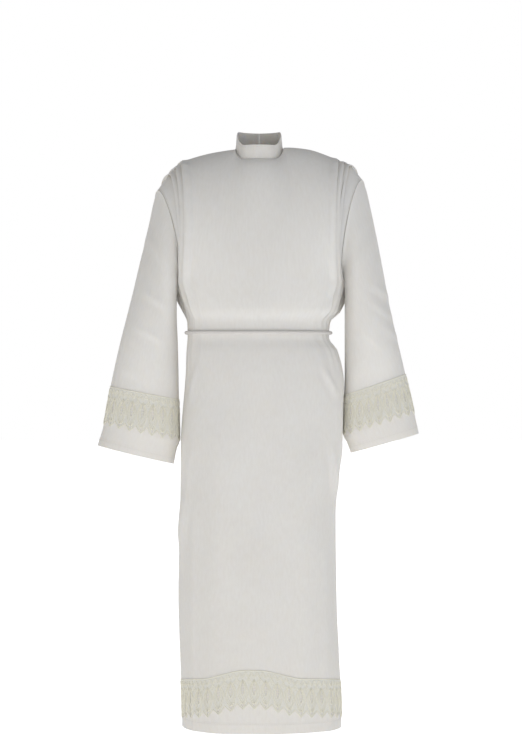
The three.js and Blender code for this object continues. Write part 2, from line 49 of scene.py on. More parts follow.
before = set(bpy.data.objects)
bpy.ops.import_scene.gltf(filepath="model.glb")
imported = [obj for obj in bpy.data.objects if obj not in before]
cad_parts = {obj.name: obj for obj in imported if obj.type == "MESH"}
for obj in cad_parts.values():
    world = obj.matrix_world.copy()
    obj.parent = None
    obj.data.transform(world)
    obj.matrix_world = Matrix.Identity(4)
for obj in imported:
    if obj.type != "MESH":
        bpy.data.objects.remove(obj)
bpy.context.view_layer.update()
BODY_NAME = "root"
MM = 0.001

FACES = {"front": -1, "back": 1}
SIDES = {"left": -1, "right": 1}
UP = np.array([0.0, 0.0, 1.0])
QUARTER = math.pi / 2

# Neck and collar
NECK_X = -2
NECK_HALF_WIDTH = 56
NECK_HALF_DEPTH = 62
NECK_FRONT_Z = -9
NECK_BACK_Z = 28
NECK_RISE_FROM = 40
NECK_RISE_TO = 115
NECK_SHARE = 0.3
COLLAR_HEIGHT = 34
COLLAR_LEAN = 3
COLLAR_LEAN_CURVE = 1.3
COLLAR_WALL = 2
COLLAR_TOP_ROUND = 1
COLLAR_GAP_DEGREES = 0.25
COLLAR_PER_DEGREE = 1.03

# Soft sway of the collar: height, waves round the neck and phase, and where up the collar it is widest
COLLAR_WAVES = ((0.7, 5, 1), (0.4, 11, 0))
COLLAR_SWAY_TURN = 0.8

# Lengths below the origin
ARMPIT = 300
WAIST = 422
HEM = 1364

# Armhole rings: flat, with the front nearer the middle of the body than the back
ARMHOLE_DEPTH = 72
ARMHOLE_SLANT = 0.3
SLANT_FADE = 130
ARMHOLES = {
    "left": {"tip_x": 244.8, "tip_z": -79.5, "pit_x": 200},
    "right": {"tip_x": 244.3, "tip_z": -54.5, "pit_x": 204.5},
}
HEM_HALF_WIDTH = 189
HEM_HALF_DEPTH = 148
CUFF_HALF_WIDTH = 94
CUFF_HALF_DEPTH = 57
CHEST_FULLNESS = 12

# Flat width of a half panel, as a multiple of the hem's half width, and of a sleeve against its cuff
PANEL_SPREAD = 1.41
SLEEVE_SPREAD = 1.3


def table(names, rows):
    """A table of numbers as named columns."""
    return dict(zip(names.split(), np.array(rows, float).T))


# Shoulder line from the neck to the tip
SHOULDERS = {
    "left": table("share out z", [
        (0.30, 58, 18), (0.45, 112, 10), (0.60, 172, -6), (0.65, 187, -12), (0.70, 189, -14),
        (0.75, 203, -27), (0.80, 205, -31), (0.85, 218, -43), (0.90, 221, -48), (1.00, 244.8, -79.5),
    ]),
    "right": table("share out z", [
        (0.30, 54, 20), (0.45, 110, 18), (0.60, 170, 0), (0.65, 185, -8), (0.70, 187, -10),
        (0.75, 202, -15), (0.80, 204, -17), (0.85, 217, -22), (0.90, 220, -26), (1.00, 244.3, -54.5),
    ]),
}

# Body sections: how far the cloth reaches to each side, forward and back at each length
BODY = table("drop left right front back square", [
    (300, 200, 204.5, 122, 112, 0.12), (345, 188, 193, 122, 113, 0.11),
    (372, 179, 185, 120, 111, 0.10), (396, 173, 165, 111, 102, 0.09),
    (434, 172, 164, 110, 101, 0.09), (465, 174, 182, 117, 110, 0.09),
    (545, 180, 199, 125, 122, 0.08), (690, 190, 197, 131, 131, 0.07),
    (860, 191, 182, 135, 136, 0.06), (1050, 194, 184, 140, 142, 0.05),
    (1200, 191, 188, 144, 146, 0.05), (1364, 187, 192, 148, 150, 0.05),
])

# Sleeve rings: outer and inner edge as seen from the front, the depth each way, and the slant
RING_COLUMNS = "outer_x outer_z inner_x inner_z depth slant"
SLEEVES = {
    "left": table(RING_COLUMNS, [
        (244.8, -79.5, 200, -300, 72, 0.3), (262, -151, 201.5, -331, 74, 0.22),
        (284, -242, 200.5, -385, 76, 0.14), (311, -355, 197.3, -445, 74, 0.06),
        (335, -453, 195.3, -520, 64, 0), (357, -550, 193.8, -582, 54, 0),
        (375, -643, 192.6, -683, 60, 0), (377, -652, 198, -697, 59, 0),
        (389.3, -692, 206, -736, 57, 0),
    ]),
    "right": table(RING_COLUMNS, [
        (244.3, -54.5, 204.5, -300, 72, 0.3), (260.5, -129, 206, -330, 74, 0.22),
        (284, -238, 206.8, -385, 76, 0.14), (308, -347, 206.6, -440, 74, 0.06),
        (330.5, -443, 206.4, -515, 64, 0), (348, -521, 204, -571, 52, 0),
        (371, -617, 200.5, -669, 60, 0), (373, -627, 205.5, -679, 60, 0),
        (380.6, -663, 216.7, -710, 58, 0),
    ]),
}
CUFF_LACE_TOP_RING = 5

# Soft vertical folds: place round the half panel in degrees, spread, height and where they run
Fold = namedtuple("Fold", "at spread rise start end")
FOLD_FADE = 140
FOLDS = {
    "front": [
        Fold(-70, 8, 7, 620, 1020), Fold(66, 8, 7, 520, 960),
        Fold(-30, 12, 5.5, 560, 1600), Fold(34, 12, 5.5, 640, 1600),
        Fold(-52, 6, 3.4, 760, 1600), Fold(53, 7, 3.6, 820, 1600), Fold(6, 8, 3.0, 900, 1600),
    ],
    "back": [
        Fold(-62, 9, 9, 470, 1600), Fold(-36, 9, 11, 450, 1600), Fold(-9, 8, 8, 480, 1600),
        Fold(14, 8, 10, 450, 1600), Fold(40, 9, 9, 470, 1600), Fold(64, 8, 8, 500, 1600),
        Fold(-22, 5, 3, 520, 980), Fold(28, 5, 3, 540, 1100), Fold(2, 4, 2.5, 500, 860),
    ],
}

# Small gathers that the cord belt makes above and below itself: place in degrees, spread, height
Gather = namedtuple("Gather", "at spread rise")
GATHER_FROM_CORD = 42
GATHER_REACH = 48
GATHERS = {
    "front": [
        Gather(-78, 3.2, 2.6), Gather(-69, 2.6, 1.8), Gather(-59, 3.0, 2.2), Gather(-47, 2.8, 1.2),
        Gather(46, 3.0, 1.3), Gather(57, 2.7, 2.1), Gather(66, 3.1, 1.7), Gather(77, 3.0, 2.8),
    ],
    "back": [
        Gather(-77, 3.0, 2.4), Gather(-66, 3.4, 2.0), Gather(-53, 2.7, 2.7), Gather(-42, 3.0, 1.8),
        Gather(-29, 3.3, 2.4), Gather(-17, 2.6, 2.0), Gather(-6, 2.8, 2.6), Gather(7, 3.2, 1.9),
        Gather(19, 2.8, 2.5), Gather(31, 3.1, 2.0), Gather(44, 2.6, 2.6), Gather(56, 3.2, 2.1),
        Gather(67, 2.8, 2.4), Gather(78, 3.1, 2.2),
    ],
}

# Single creases as seen from the front or the back: both ends, height and half width
Crease = namedtuple("Crease", "x0 z0 x1 z1 rise width")
CREASE_FADE = 1.3
TROUGH_SHARE = 0.5
TROUGH_AT = 1.7
PANEL_CREASES = {
    "front": [
        Crease(-189, -22, -158, -32, 2.2, 4), Crease(158, -50, 186, -60, 2.6, 4),
        Crease(160, -95, 182, -98, 2.0, 5), Crease(213, -60, 205, -340, 2.6, 6),
        Crease(-210, -150, -203, -330, 2.0, 6), Crease(-165, -690, -173, -790, 4.0, 8),
        Crease(-173, -790, -187, -930, 5.5, 8), Crease(172, -691, 181, -830, 5.2, 7),
        Crease(193, -680, 196, -745, 3.4, 5), Crease(150, -505, 182, -570, 4.4, 7),
        Crease(-150, -500, -168, -585, 4.0, 7), Crease(-175, -330, -150, -385, 4.2, 7),
        Crease(178, -330, 150, -388, 4.6, 7),
    ],
    "back": [
        Crease(-150, -60, -60, -120, 2.4, 11), Crease(148, -50, 58, -112, 2.2, 11),
        Crease(-170, -310, -110, -385, 3.0, 9), Crease(172, -300, 118, -384, 3.2, 9),
        Crease(-60, -330, -48, -396, 2.2, 8), Crease(35, -318, 48, -394, 2.4, 8),
        Crease(-120, -480, -150, -640, 3.2, 10), Crease(122, -478, 158, -650, 3.2, 10),
        Crease(-20, -470, -36, -600, 2.0, 9), Crease(-160, -900, -150, -1100, 2.6, 12),
        Crease(128, -860, 150, -1080, 2.4, 12),
    ],
}
SLEEVE_CREASES = {
    "left": {
        "front": [
            Crease(-236, -120, -214, -430, 2.4, 13), Crease(-282, -322, -214, -366, 1.7, 9),
            Crease(-296, -408, -222, -446, 1.5, 9), Crease(-268, -190, -222, -262, 1.5, 11),
            Crease(-330, -500, -262, -546, 1.3, 10),
        ],
        "back": [
            Crease(-240, -130, -222, -400, 2.8, 13), Crease(-288, -300, -220, -352, 2.4, 9),
            Crease(-300, -384, -224, -420, 2.2, 9), Crease(-312, -452, -240, -500, 1.8, 10),
            Crease(-268, -200, -220, -280, 2.0, 11),
        ],
    },
    "right": {
        "front": [
            Crease(230, -104, 220, -430, 2.2, 13), Crease(258, -304, 330, -352, 1.9, 8),
            Crease(262, -350, 322, -390, 1.6, 7), Crease(292, -408, 344, -442, 1.5, 8),
            Crease(228, -410, 292, -462, 1.4, 10), Crease(262, -196, 226, -270, 1.5, 11),
        ],
        "back": [
            Crease(238, -116, 226, -410, 2.8, 13), Crease(286, -288, 224, -346, 2.3, 9),
            Crease(300, -372, 228, -416, 2.2, 9), Crease(322, -452, 246, -492, 1.8, 10),
            Crease(266, -196, 226, -270, 2.0, 11),
        ],
    },
}

# Knife pleats at each shoulder: share of the half panel where each folded edge lies
PLEAT_EDGES = (0.65, 0.75, 0.85)
PLEAT_LEAD = 0.06
PLEAT_FOLD = 0.004
PLEAT_RISE = 9
PLEAT_OVERHANG = 9
PLEAT_HOLD = 260
PLEAT_END = 440
PLEAT_OPENS = 70
PLEAT_AT_SEAM = 0.4
PLEAT_CURVE = 1.5
PLEAT_TUCK = 0.5

# Painted shade behind the pleats and in the seams, darkening the cloth's colour: how deep, and how far it
# reaches
PLEAT_SHADE = 0.8
PLEAT_SHADE_REACH = 0.05
ARMHOLE_SHADE = 0.35
SLEEVE_HEAD_SHADE = 0.5
SEAM_SHADE_REACH = 4

# Unevenness of the cloth: waves that are long down the cloth and shorter across it
WAVE_SEED = 7
WAVE_COUNT = 16
WAVE_SHORTEST = 70
WAVE_LONGEST = 260
WAVE_RISE = 0.0042
WAVE_LENGTHWISE = 0.28

# Meshes: wall, grid steps and seams
WALL = 1.2
PANEL_COLUMNS = 132
SHOULDER_ROWS = 34
SKIRT_ROW_STEP = 9
SLEEVE_COLUMNS = 96
SLEEVE_ROW_STEP = 6
SEAM_DIP = 1.1
SEAM_REACH = 3.5
SEAM_HOLDS = 30
HEAD_SEAM_AT = 5
HEAD_SEAM_SPREAD = 2
HEAD_SEAM_RISE = 1.1
SLEEVE_EDGE_BLEND = 12
HEM_TURN_UP = 25
CUFF_TURN_UP = 22
HEM_RIDGE = 0.25

# Hem lace: its height, and the plain cloth left below it at the centre and at the sides
HEM_LACE_HEIGHT = 92
BELOW_LACE_CENTRE = 58
BELOW_LACE_SIDE = 18
LACE_CREST_SHARE = 0.47
LACE_CREST_AT = -6
LACE_CREST_INNER = 4
LACE_CREST_OUTER = 37
HEM_REPEATS = 20

# Cuff lace, the front or back half of a band
CUFF_REPEATS = 9
CUFF_LACE_FLAT_WIDTH = 244

# Applied lace: a net ground with corded outlines on it, and a scalloped foot
SCALLOP_FROM = 0.82
HOLE_MARGIN = 1.35
FOOT_MARGIN = 0.03
NET_LIFT = 0.35
NET_WALL = 0.5
LACE_CORD = 0.9
LACE_FINE_CORD = 0.65
LACE_CORD_SIDES = 5
LACE_CORD_OUT = 0.4
MERGE_DISTANCE = 0.02

# Cord belt: three strands twisted together
STRAND_COUNT = 3
STRAND_RADIUS = 2.15
STRAND_OFFSET = 2.1
CORD_PITCH = 19
CORD_GAP = 0.4
CORD_STEP = 1.6
BELT_LEG_POINTS = 160
STRAND_SIDES = 7
BELT_SMOOTHING = 25
KNOT_CORD_RADIUS = 2.9
KNOT_CORD_SIDES = 10
KNOT_CORD_STEP = 1.0
KNOT_HALF_SIZE = np.array([8.6, 3.4, 7.2])

# Sewing thread: real stitches are 2.5 mm long, and these are longer so that they show
STITCH_LENGTH = 3.2
STITCH_SPACING = 4.6
STITCH_RADIUS = 0.38
STITCH_SIDES = 5
STITCH_TAPER = np.array([0.35, 1, 1, 0.35])
STITCH_PLACES = np.array([0, 0.2, 0.8, 1])
STITCH_LIFT = np.array([-0.25, 0.12, 0.12, -0.25])
STITCH_FROM_EDGE = 3
ARMHOLE_STITCHES_AT = 0.98
COLLAR_STITCHES_AT = (4, COLLAR_HEIGHT - 5)

# Colours of painted shade, in the cloth's folds and seams and between the plies of belt cord and sewing
# thread, and the darker paint of the floor's mottle
PAINTED_FOLD_SHADE = "#A39985"
BELT_SHADE = "#D0CCC8"
THREAD_SHADE = "#D2CFC9"
FLOOR_SHADE = "#F1F0EE"

# Patterns of the cloth and floor, as many to the metre. Slubs are drawn 5.6 mm wide and 20 mm long,
# which is wider than real ones, so that they show; pressing leaves patches of about 110 mm
SLUBS_PER_METRE = (180, 50, 1)
PATCHES_PER_METRE = 9
MOTTLES_PER_METRE = 3

# Real net cells are about 1 mm, and these are wider so that they show
NET_CELL = 2.2

# Camera and stage, in metres
CAMERA_DISTANCE = 6.0
CAMERA_LENS = 120
CAMERA_SENSOR = 36
CAMERA_X = 0.0024
CAMERA_Z = -0.5232
FLOOR_Z = -1.47
FLOOR_SIZE = 60

# Lamps: place and size in metres, tint, and share of the key light's power
Lamp = namedtuple("Lamp", "name place size tint share")
LAMPS_AIM = (0, 0, -0.95)
LAMPS = (
    Lamp("key_light", (-1.4, -2.3, -1.2), 1.7, "#FFFAF4", 1.0),
    Lamp("low_light", (1.2, -2.1, -1.3), 1.7, "#FFFFFF", 0.8),
    Lamp("back_light", (0.4, 2.6, -1.2), 2.0, "#FFFFFF", 1.3),
    Lamp("cool_light", (1.8, -1.9, 1.6), 2.0, "#E2ECFF", 0.6),
)


# Numbers

def smoothstep(value, low, high):
    t = np.clip((value - low) / (high - low), 0, 1)
    return t * t * (3 - 2 * t)


def lerp(a, b, t):
    return a + (b - a) * t


def unit(vectors):
    return vectors / np.maximum(np.linalg.norm(vectors, axis=-1, keepdims=True), 1e-12)


def read(columns, key, name, at):
    """Reads one column of a table at places between its rows, smoothly and without overshoot."""
    keys, values = columns[key], columns[name]
    steps = np.diff(values) / np.diff(keys)
    before, after = steps[:-1], steps[1:]
    total = np.where(before + after == 0, 1, before + after)
    slopes = np.zeros(len(keys))
    slopes[1:-1] = np.where(before * after > 0, 2 * before * after / total, 0)
    row = np.clip(np.searchsorted(keys, at) - 1, 0, len(keys) - 2)
    span = keys[row + 1] - keys[row]
    t = np.clip((at - keys[row]) / span, 0, 1)
    ease = t * t * (3 - 2 * t)
    bend = span * t * (1 - t) * ((1 - t) * slopes[row] - t * slopes[row + 1])
    return lerp(values[row], values[row + 1], ease) + bend


def even_angles(half_width, half_depth, steps=2000):
    """Shares of a quarter ellipse's length, and the angles where they lie."""
    angles = np.linspace(0, QUARTER, steps + 1)
    middle = (angles[1:] + angles[:-1]) / 2
    speed = np.hypot(half_width * np.cos(middle), half_depth * np.sin(middle))
    lengths = np.concatenate([[0], np.cumsum(speed)])
    return lengths / lengths[-1], angles


PANEL_SHARES, PANEL_ANGLES = even_angles(HEM_HALF_WIDTH, HEM_HALF_DEPTH)
CUFF_SHARES, CUFF_ANGLES = even_angles(CUFF_HALF_DEPTH, CUFF_HALF_WIDTH)


def wave_table():
    """Directions, phases and heights of the waves that make the cloth uneven."""
    random = np.random.default_rng(WAVE_SEED)
    length = random.uniform(WAVE_SHORTEST, WAVE_LONGEST, WAVE_COUNT)
    heading = random.uniform(0, 2 * math.pi, WAVE_COUNT)
    down = random.uniform(-1, 1, WAVE_COUNT) * WAVE_LENGTHWISE
    waves = np.stack([np.cos(heading), np.sin(heading), down], -1) * (2 * math.pi / length)[:, None]
    return waves, random.uniform(0, 2 * math.pi, WAVE_COUNT), length * WAVE_RISE


WAVES, WAVE_PHASES, WAVE_HEIGHTS = wave_table()


def unevenness(points):
    return (np.sin(points @ WAVES.T + WAVE_PHASES) * WAVE_HEIGHTS).sum(-1)


def crease_rise(creases, x, z):
    """Height of single creases: a soft ridge with a trough along one side, fading at both ends."""
    total = np.zeros(np.shape(x))
    for crease in creases:
        dx, dz = crease.x1 - crease.x0, crease.z1 - crease.z0
        length = math.hypot(dx, dz)
        along = ((x - crease.x0) * dx + (z - crease.z0) * dz) / length ** 2
        off = ((x - crease.x0) * dz - (z - crease.z0) * dx) / length / crease.width
        ends = np.exp(-CREASE_FADE * (2 * np.abs(along - 0.5)) ** 4)
        trough = TROUGH_SHARE * np.exp(-(off - TROUGH_AT) ** 2)
        total += crease.rise * ends * (np.exp(-off ** 2) - trough)
    return total


# The shape of the cloth

def panel_turn(u):
    """Angle round a section at a signed share of the half panel, from -1 at the left to 1."""
    return np.sign(u) * np.interp(np.abs(u), PANEL_SHARES, PANEL_ANGLES)


def by_side(u, tables, key, name, at):
    left = read(tables["left"], key, name, at)
    return np.where(u < 0, left, read(tables["right"], key, name, at))


def neck_point(degrees):
    turn = np.radians(degrees)
    height = smoothstep(np.abs(degrees), NECK_RISE_FROM, NECK_RISE_TO)
    return np.stack([
        NECK_X + NECK_HALF_WIDTH * np.sin(turn),
        -NECK_HALF_DEPTH * np.cos(turn),
        lerp(NECK_FRONT_Z, NECK_BACK_Z, height),
    ], -1)


def top_edge(face, u):
    """Top edge of a panel: the neckline in the middle and the shoulder line on each side."""
    share = np.abs(u)
    sign = np.where(u < 0, -1, 1)
    degrees = sign * 90 * np.minimum(share / NECK_SHARE, 1)
    neck = neck_point(degrees if face == "front" else sign * 180 - degrees)
    out = by_side(u, SHOULDERS, "share", "out", share)
    height = by_side(u, SHOULDERS, "share", "z", share)
    shoulder = np.stack([sign * out, np.zeros_like(out), height], -1)
    return np.where((share <= NECK_SHARE)[..., None], neck, shoulder)


def section_parts(face, u, drop):
    turn = panel_turn(u)
    half = np.where(u < 0, read(BODY, "drop", "left", drop), read(BODY, "drop", "right", drop))
    return turn, half, read(BODY, "drop", face, drop)


def section_normal(face, u, drop):
    turn, half, depth = section_parts(face, u, drop)
    across = np.sin(turn) / half
    return unit(np.stack([across, FACES[face] * np.cos(turn) / depth, 0 * across], -1))


def section(face, u, drop):
    """A point of a level section of the body, without folds."""
    turn, half, depth = section_parts(face, u, drop)
    boxed = 1 + read(BODY, "drop", "square", drop) * np.sin(2 * turn) ** 2
    y = FACES[face] * depth * np.cos(turn) * boxed
    slant = ARMHOLE_SLANT * (1 - smoothstep(drop, ARMPIT, ARMPIT + SLANT_FADE))
    x = half * np.sin(turn) * boxed + np.sign(turn) * slant * y * np.sin(turn) ** 4
    return np.stack([x, y, -drop + 0 * x], -1)


def armhole_point(face, u, share):
    """A point of the armhole ring on u's side, from the shoulder tip (0) to the armpit (1)."""
    def value(name):
        return np.where(u < 0, ARMHOLES["left"][name], ARMHOLES["right"][name])
    swing = np.cos(math.pi * share)
    deep = FACES[face] * ARMHOLE_DEPTH * np.sin(math.pi * share)
    middle, half = (value("tip_x") + value("pit_x")) / 2, (value("tip_x") - value("pit_x")) / 2
    x = np.where(u < 0, -1, 1) * (middle + half * swing + ARMHOLE_SLANT * deep)
    tip_z = value("tip_z")
    return np.stack([x, deep + 0 * x, (tip_z - ARMPIT) / 2 + (tip_z + ARMPIT) / 2 * swing], -1)


def shoulder_blend(face, u, share, foot):
    top = top_edge(face, u)
    bow = np.sin(share * QUARTER)
    return np.stack([
        lerp(top[..., 0], foot[..., 0], share),
        lerp(top[..., 1], foot[..., 1], bow),
        lerp(top[..., 2], foot[..., 2], 1 - np.cos(share * QUARTER)),
    ], -1)


def fold_rise(face, turn, drop):
    degrees = np.degrees(turn)
    total = np.zeros(np.shape(degrees + drop))
    for fold in FOLDS[face]:
        starts = smoothstep(drop, fold.start, fold.start + FOLD_FADE)
        ends = 1 - smoothstep(drop, fold.end - FOLD_FADE, fold.end)
        total += fold.rise * starts * ends * np.exp(-((degrees - fold.at) / fold.spread) ** 2)
    near = np.exp(-((np.abs(drop - WAIST) - GATHER_FROM_CORD) / GATHER_REACH) ** 2)
    for gather in GATHERS[face]:
        total += gather.rise * near * np.exp(-((degrees - gather.at) / gather.spread) ** 2)
    return total


def pleat_shape(share, drop):
    """Height of the knife pleats, and how far each folded edge reaches out over the next layer."""
    hold = 1 - smoothstep(drop, PLEAT_HOLD, PLEAT_END)
    rise, reach = np.zeros_like(share), np.zeros_like(share)
    for edge in PLEAT_EDGES:
        past = share - edge
        climb = smoothstep(past, -PLEAT_LEAD, -PLEAT_FOLD) ** PLEAT_CURVE
        fall = smoothstep(past, -PLEAT_FOLD, PLEAT_FOLD)
        rise += climb * (1 - fall)
        reach += smoothstep(past, -PLEAT_LEAD / 2, -PLEAT_FOLD) * (1 - fall)
        reach -= PLEAT_TUCK * fall * (1 - smoothstep(past, PLEAT_FOLD, PLEAT_LEAD / 2))
    return PLEAT_RISE * hold * rise, PLEAT_OVERHANG * hold * reach


def panel_base(face, u, down):
    """The plain panel at a nominal length below the top edge, with the direction away from the body."""
    share = np.clip(down / ARMPIT, 0, 1)
    foot = section(face, u, np.maximum(down, ARMPIT))
    point = shoulder_blend(face, u, share, foot)
    turn = panel_turn(u)
    edge = np.where(u < 0, -1.0, 1.0) + 0 * down
    edge_foot = section(face, edge, ARMPIT + 0 * edge)
    pull = armhole_point(face, edge, share) - shoulder_blend(face, edge, share, edge_foot)
    point = point + pull * (np.sin(turn) ** 4)[..., None]
    point[..., 1] += FACES[face] * CHEST_FULLNESS * np.sin(math.pi * share) * np.sin(2 * turn) ** 2
    level = section_normal(face, u, np.maximum(down, ARMPIT)) * np.sin(share * QUARTER)[..., None]
    return point, unit(level + UP * np.cos(share * QUARTER)[..., None])


def panel(face, u, down):
    """The finished surface of a panel with its pleats, folds, creases and seams."""
    u, down = np.broadcast_arrays(np.asarray(u, float), np.asarray(down, float))
    point, outward = panel_base(face, u, down)
    drop = -point[..., 2]
    pleat, reach = pleat_shape(np.abs(u), drop)
    reach = reach * smoothstep(down, 0, PLEAT_OPENS)
    pleat = pleat * lerp(PLEAT_AT_SEAM, 1, smoothstep(down, 0, PLEAT_OPENS))
    side_seam = (1 - np.abs(u)) * HEM_HALF_WIDTH * QUARTER
    uneven = unevenness(point) * smoothstep(down, 0, SEAM_HOLDS)
    uneven = uneven + crease_rise(PANEL_CREASES[face], point[..., 0], point[..., 2])
    uneven = uneven * smoothstep(side_seam, 0, SEAM_HOLDS)
    height = pleat + fold_rise(face, panel_turn(u), drop) + uneven
    height = height - SEAM_DIP * np.exp(-(side_seam / SEAM_REACH) ** 2)
    at_shoulder = (np.abs(u) > NECK_SHARE) * np.exp(-(down / SEAM_REACH) ** 2)
    height = height - SEAM_DIP * at_shoulder
    height = height + HEM_RIDGE * smoothstep(down, HEM - HEM_TURN_UP - 2, HEM - HEM_TURN_UP)
    level = section_normal(face, u, np.maximum(down, ARMPIT))
    outer_way = np.sign(u) * FACES[face]
    tangent = np.stack([outer_way * level[..., 1], -outer_way * level[..., 0], 0 * u], -1)
    return point + outward * height[..., None] + tangent * reach[..., None]


def cuff_angle(around):
    """Angle round a sleeve at a share of the way round, from its outer edge by way of the front."""
    half = np.mod(around, 0.5) * 4
    quarter = np.interp(np.minimum(half, 2 - half), CUFF_SHARES, CUFF_ANGLES)
    angle = np.where(half <= 1, quarter, math.pi - quarter)
    return angle + math.pi * np.floor(np.asarray(around) * 2)


def measured_rings(rings):
    """The sleeve's rings with their distance along its middle line."""
    x = (rings["outer_x"] + rings["inner_x"]) / 2
    z = (rings["outer_z"] + rings["inner_z"]) / 2
    return dict(rings, along=np.concatenate([[0], np.cumsum(np.hypot(np.diff(x), np.diff(z)))]))


SLEEVE_RINGS = {side: measured_rings(rings) for side, rings in SLEEVES.items()}


def sleeve_length(side):
    return SLEEVE_RINGS[side]["along"][-1]


def sleeve_base(side, around, along):
    ring = {name: read(SLEEVE_RINGS[side], "along", name, along) for name in RING_COLUMNS.split()}
    angle = cuff_angle(around)
    swing = (1 + np.cos(angle)) / 2
    deep = -ring["depth"] * np.sin(angle)
    x = SIDES[side] * (lerp(ring["inner_x"], ring["outer_x"], swing) + ring["slant"] * deep)
    return np.stack([x, deep, lerp(ring["inner_z"], ring["outer_z"], swing)], -1)


def outward_of(surface, sign, a, b, step_a=0.004, step_b=2.0):
    """Outward directions of a surface, from points a little to each side."""
    along = surface(a + step_a, b) - surface(a - step_a, b)
    down = surface(a, b + step_b) - surface(a, b - step_b)
    return sign * unit(np.cross(along, down))


def sleeve_outward(side, around, along):
    return outward_of(lambda a, b: sleeve_base(side, a, b), SIDES[side], around, along, 0.002, 1.5)


def sleeve(side, around, along):
    """The finished surface of a sleeve with its creases and seams."""
    around, along = np.broadcast_arrays(np.asarray(around, float), np.asarray(along, float))
    base = sleeve_base(side, around, along)
    x, y, z = base[..., 0], base[..., 1], base[..., 2]
    forward = smoothstep(-y, -SLEEVE_EDGE_BLEND, SLEEVE_EDGE_BLEND)
    height = unevenness(base)
    height = height + forward * crease_rise(SLEEVE_CREASES[side]["front"], x, z)
    height = height + (1 - forward) * crease_rise(SLEEVE_CREASES[side]["back"], x, z)
    height = height * smoothstep(along, 0, SEAM_HOLDS)
    underarm = (np.mod(around, 1) - 0.5) * 4 * CUFF_HALF_WIDTH
    height = height - SEAM_DIP * np.exp(-(underarm / SEAM_REACH) ** 2)
    height = height - SEAM_DIP * np.exp(-(along / SEAM_REACH) ** 2)
    height = height + HEAD_SEAM_RISE * np.exp(-((along - HEAD_SEAM_AT) / HEAD_SEAM_SPREAD) ** 2)
    turned = sleeve_length(side) - CUFF_TURN_UP
    height = height + HEM_RIDGE * smoothstep(along, turned - 2, turned)
    return base + sleeve_outward(side, around, along) * height[..., None]


def lace_foot(u):
    """Length at which the hem lace ends."""
    turn = panel_turn(u)
    off = np.abs(np.degrees(turn) - LACE_CREST_AT)
    crest = 1 - smoothstep(off, LACE_CREST_INNER, LACE_CREST_OUTER)
    return HEM - lerp(BELOW_LACE_SIDE, BELOW_LACE_CENTRE, lerp(np.cos(turn), crest, LACE_CREST_SHARE))


# Meshes

def grid_faces(ids, closed=False):
    left = ids if closed else ids[:, :-1]
    right = np.roll(ids, -1, axis=1) if closed else ids[:, 1:]
    return np.stack([left[:-1], left[1:], right[1:], right[:-1]], -1).reshape(-1, 4)


def wall_between(outer, inner, closed):
    """A closed wall of cloth between an outer and an inner grid of points."""
    rows, columns = outer.shape[:2]
    out_ids = np.arange(rows * columns).reshape(rows, columns)
    in_ids = out_ids + rows * columns
    parts = [
        grid_faces(out_ids, closed), grid_faces(in_ids, closed)[:, ::-1],
        grid_faces(np.stack([in_ids[0], out_ids[0]]), closed),
        grid_faces(np.stack([out_ids[-1], in_ids[-1]]), closed),
    ]
    if not closed:
        parts.append(grid_faces(np.stack([in_ids[:, 0], out_ids[:, 0]], 1)))
        parts.append(grid_faces(np.stack([out_ids[:, -1], in_ids[:, -1]], 1)))
    points = np.concatenate([outer.reshape(-1, 3), inner.reshape(-1, 3)])
    return points, np.concatenate(parts)


def turned_outward(points, faces):
    """The faces, all turned over where the body they close is inside out."""
    a, b, c = points[faces[:, 0]], points[faces[:, 1]], points[faces[:, 2]]
    volume = (a * np.cross(b, c)).sum()
    if faces.shape[1] == 4:
        d = points[faces[:, 3]]
        volume += (a * np.cross(c, d)).sum()
    return faces if volume > 0 else faces[:, ::-1]


def mesh_object(name, points, faces, material, cloth=None, sharp=50, shade=None):
    """A smooth mesh from points in millimetres. cloth gives each point's place on its flat cloth, and
    shade how far its colour is darkened with painted shade, by how deep it lies in a fold or seam."""
    mesh = bpy.data.meshes.new(name)
    mesh.from_pydata((np.asarray(points) * MM).tolist(), [], [list(map(int, f)) for f in faces])
    if mesh.validate():
        raise RuntimeError(f"the mesh of {name} has faces that aren't valid")
    if cloth is not None:
        places = mesh.attributes.new("cloth", "FLOAT_VECTOR", "POINT")
        flat = np.zeros((len(points), 3), np.float32)
        flat[:, :2] = np.asarray(cloth) * MM
        places.data.foreach_set("vector", flat.ravel())
    if shade is not None:
        # Painted shade: how far the cloth's colour is darkened in folds and seams
        depths = mesh.attributes.new("painted_fold_shade", "FLOAT", "POINT")
        depths.data.foreach_set("value", np.asarray(shade, np.float32).ravel())
    mesh.shade_smooth()
    mesh.set_sharp_from_angle(angle=math.radians(sharp))
    mesh.materials.append(material)
    piece = bpy.data.objects.new(name, mesh)
    bpy.context.scene.collection.objects.link(piece)
    return piece


def dress(piece, slot, *nodes):
    """The piece rides on the garment and stands for CAD nodes, which it hides. slot is not used."""
    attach(piece, BODY_NAME)
    if nodes:
        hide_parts(*nodes)
    return piece


def tubes(paths, normals, radius, sides, closed):
    """Tubes along several paths of as many points, as points and faces. normals face off the cloth."""
    if closed:
        along = np.roll(paths, -1, axis=1) - np.roll(paths, 1, axis=1)
    else:
        along = np.gradient(paths, axis=1)
    along = unit(along)
    beside = unit(np.cross(along, normals))
    above = np.cross(beside, along)
    turns = np.arange(sides) / sides * 2 * math.pi
    ring = beside[..., None, :] * np.cos(turns)[:, None] + above[..., None, :] * np.sin(turns)[:, None]
    points = paths[..., None, :] + ring * np.reshape(radius, (-1, 1, 1))
    count, steps = paths.shape[:2]
    ids = np.arange(count * steps * sides).reshape(count, steps, sides)
    faces = []
    for tube in ids:
        looped = np.concatenate([tube, tube[:1]]) if closed else tube
        faces.append(grid_faces(looped, closed=True))
    faces = np.concatenate(faces).tolist()
    if not closed:
        faces += ids[:, 0, ::-1].tolist() + ids[:, -1].tolist()
    return points.reshape(-1, 3), faces


def joined(parts):
    """Several sets of points and faces as one."""
    points, faces, start = [], [], 0
    for part_points, part_faces in parts:
        points.append(part_points)
        faces.extend([i + start for i in face] for face in part_faces)
        start += len(part_points)
    return np.concatenate(points), faces


# Materials

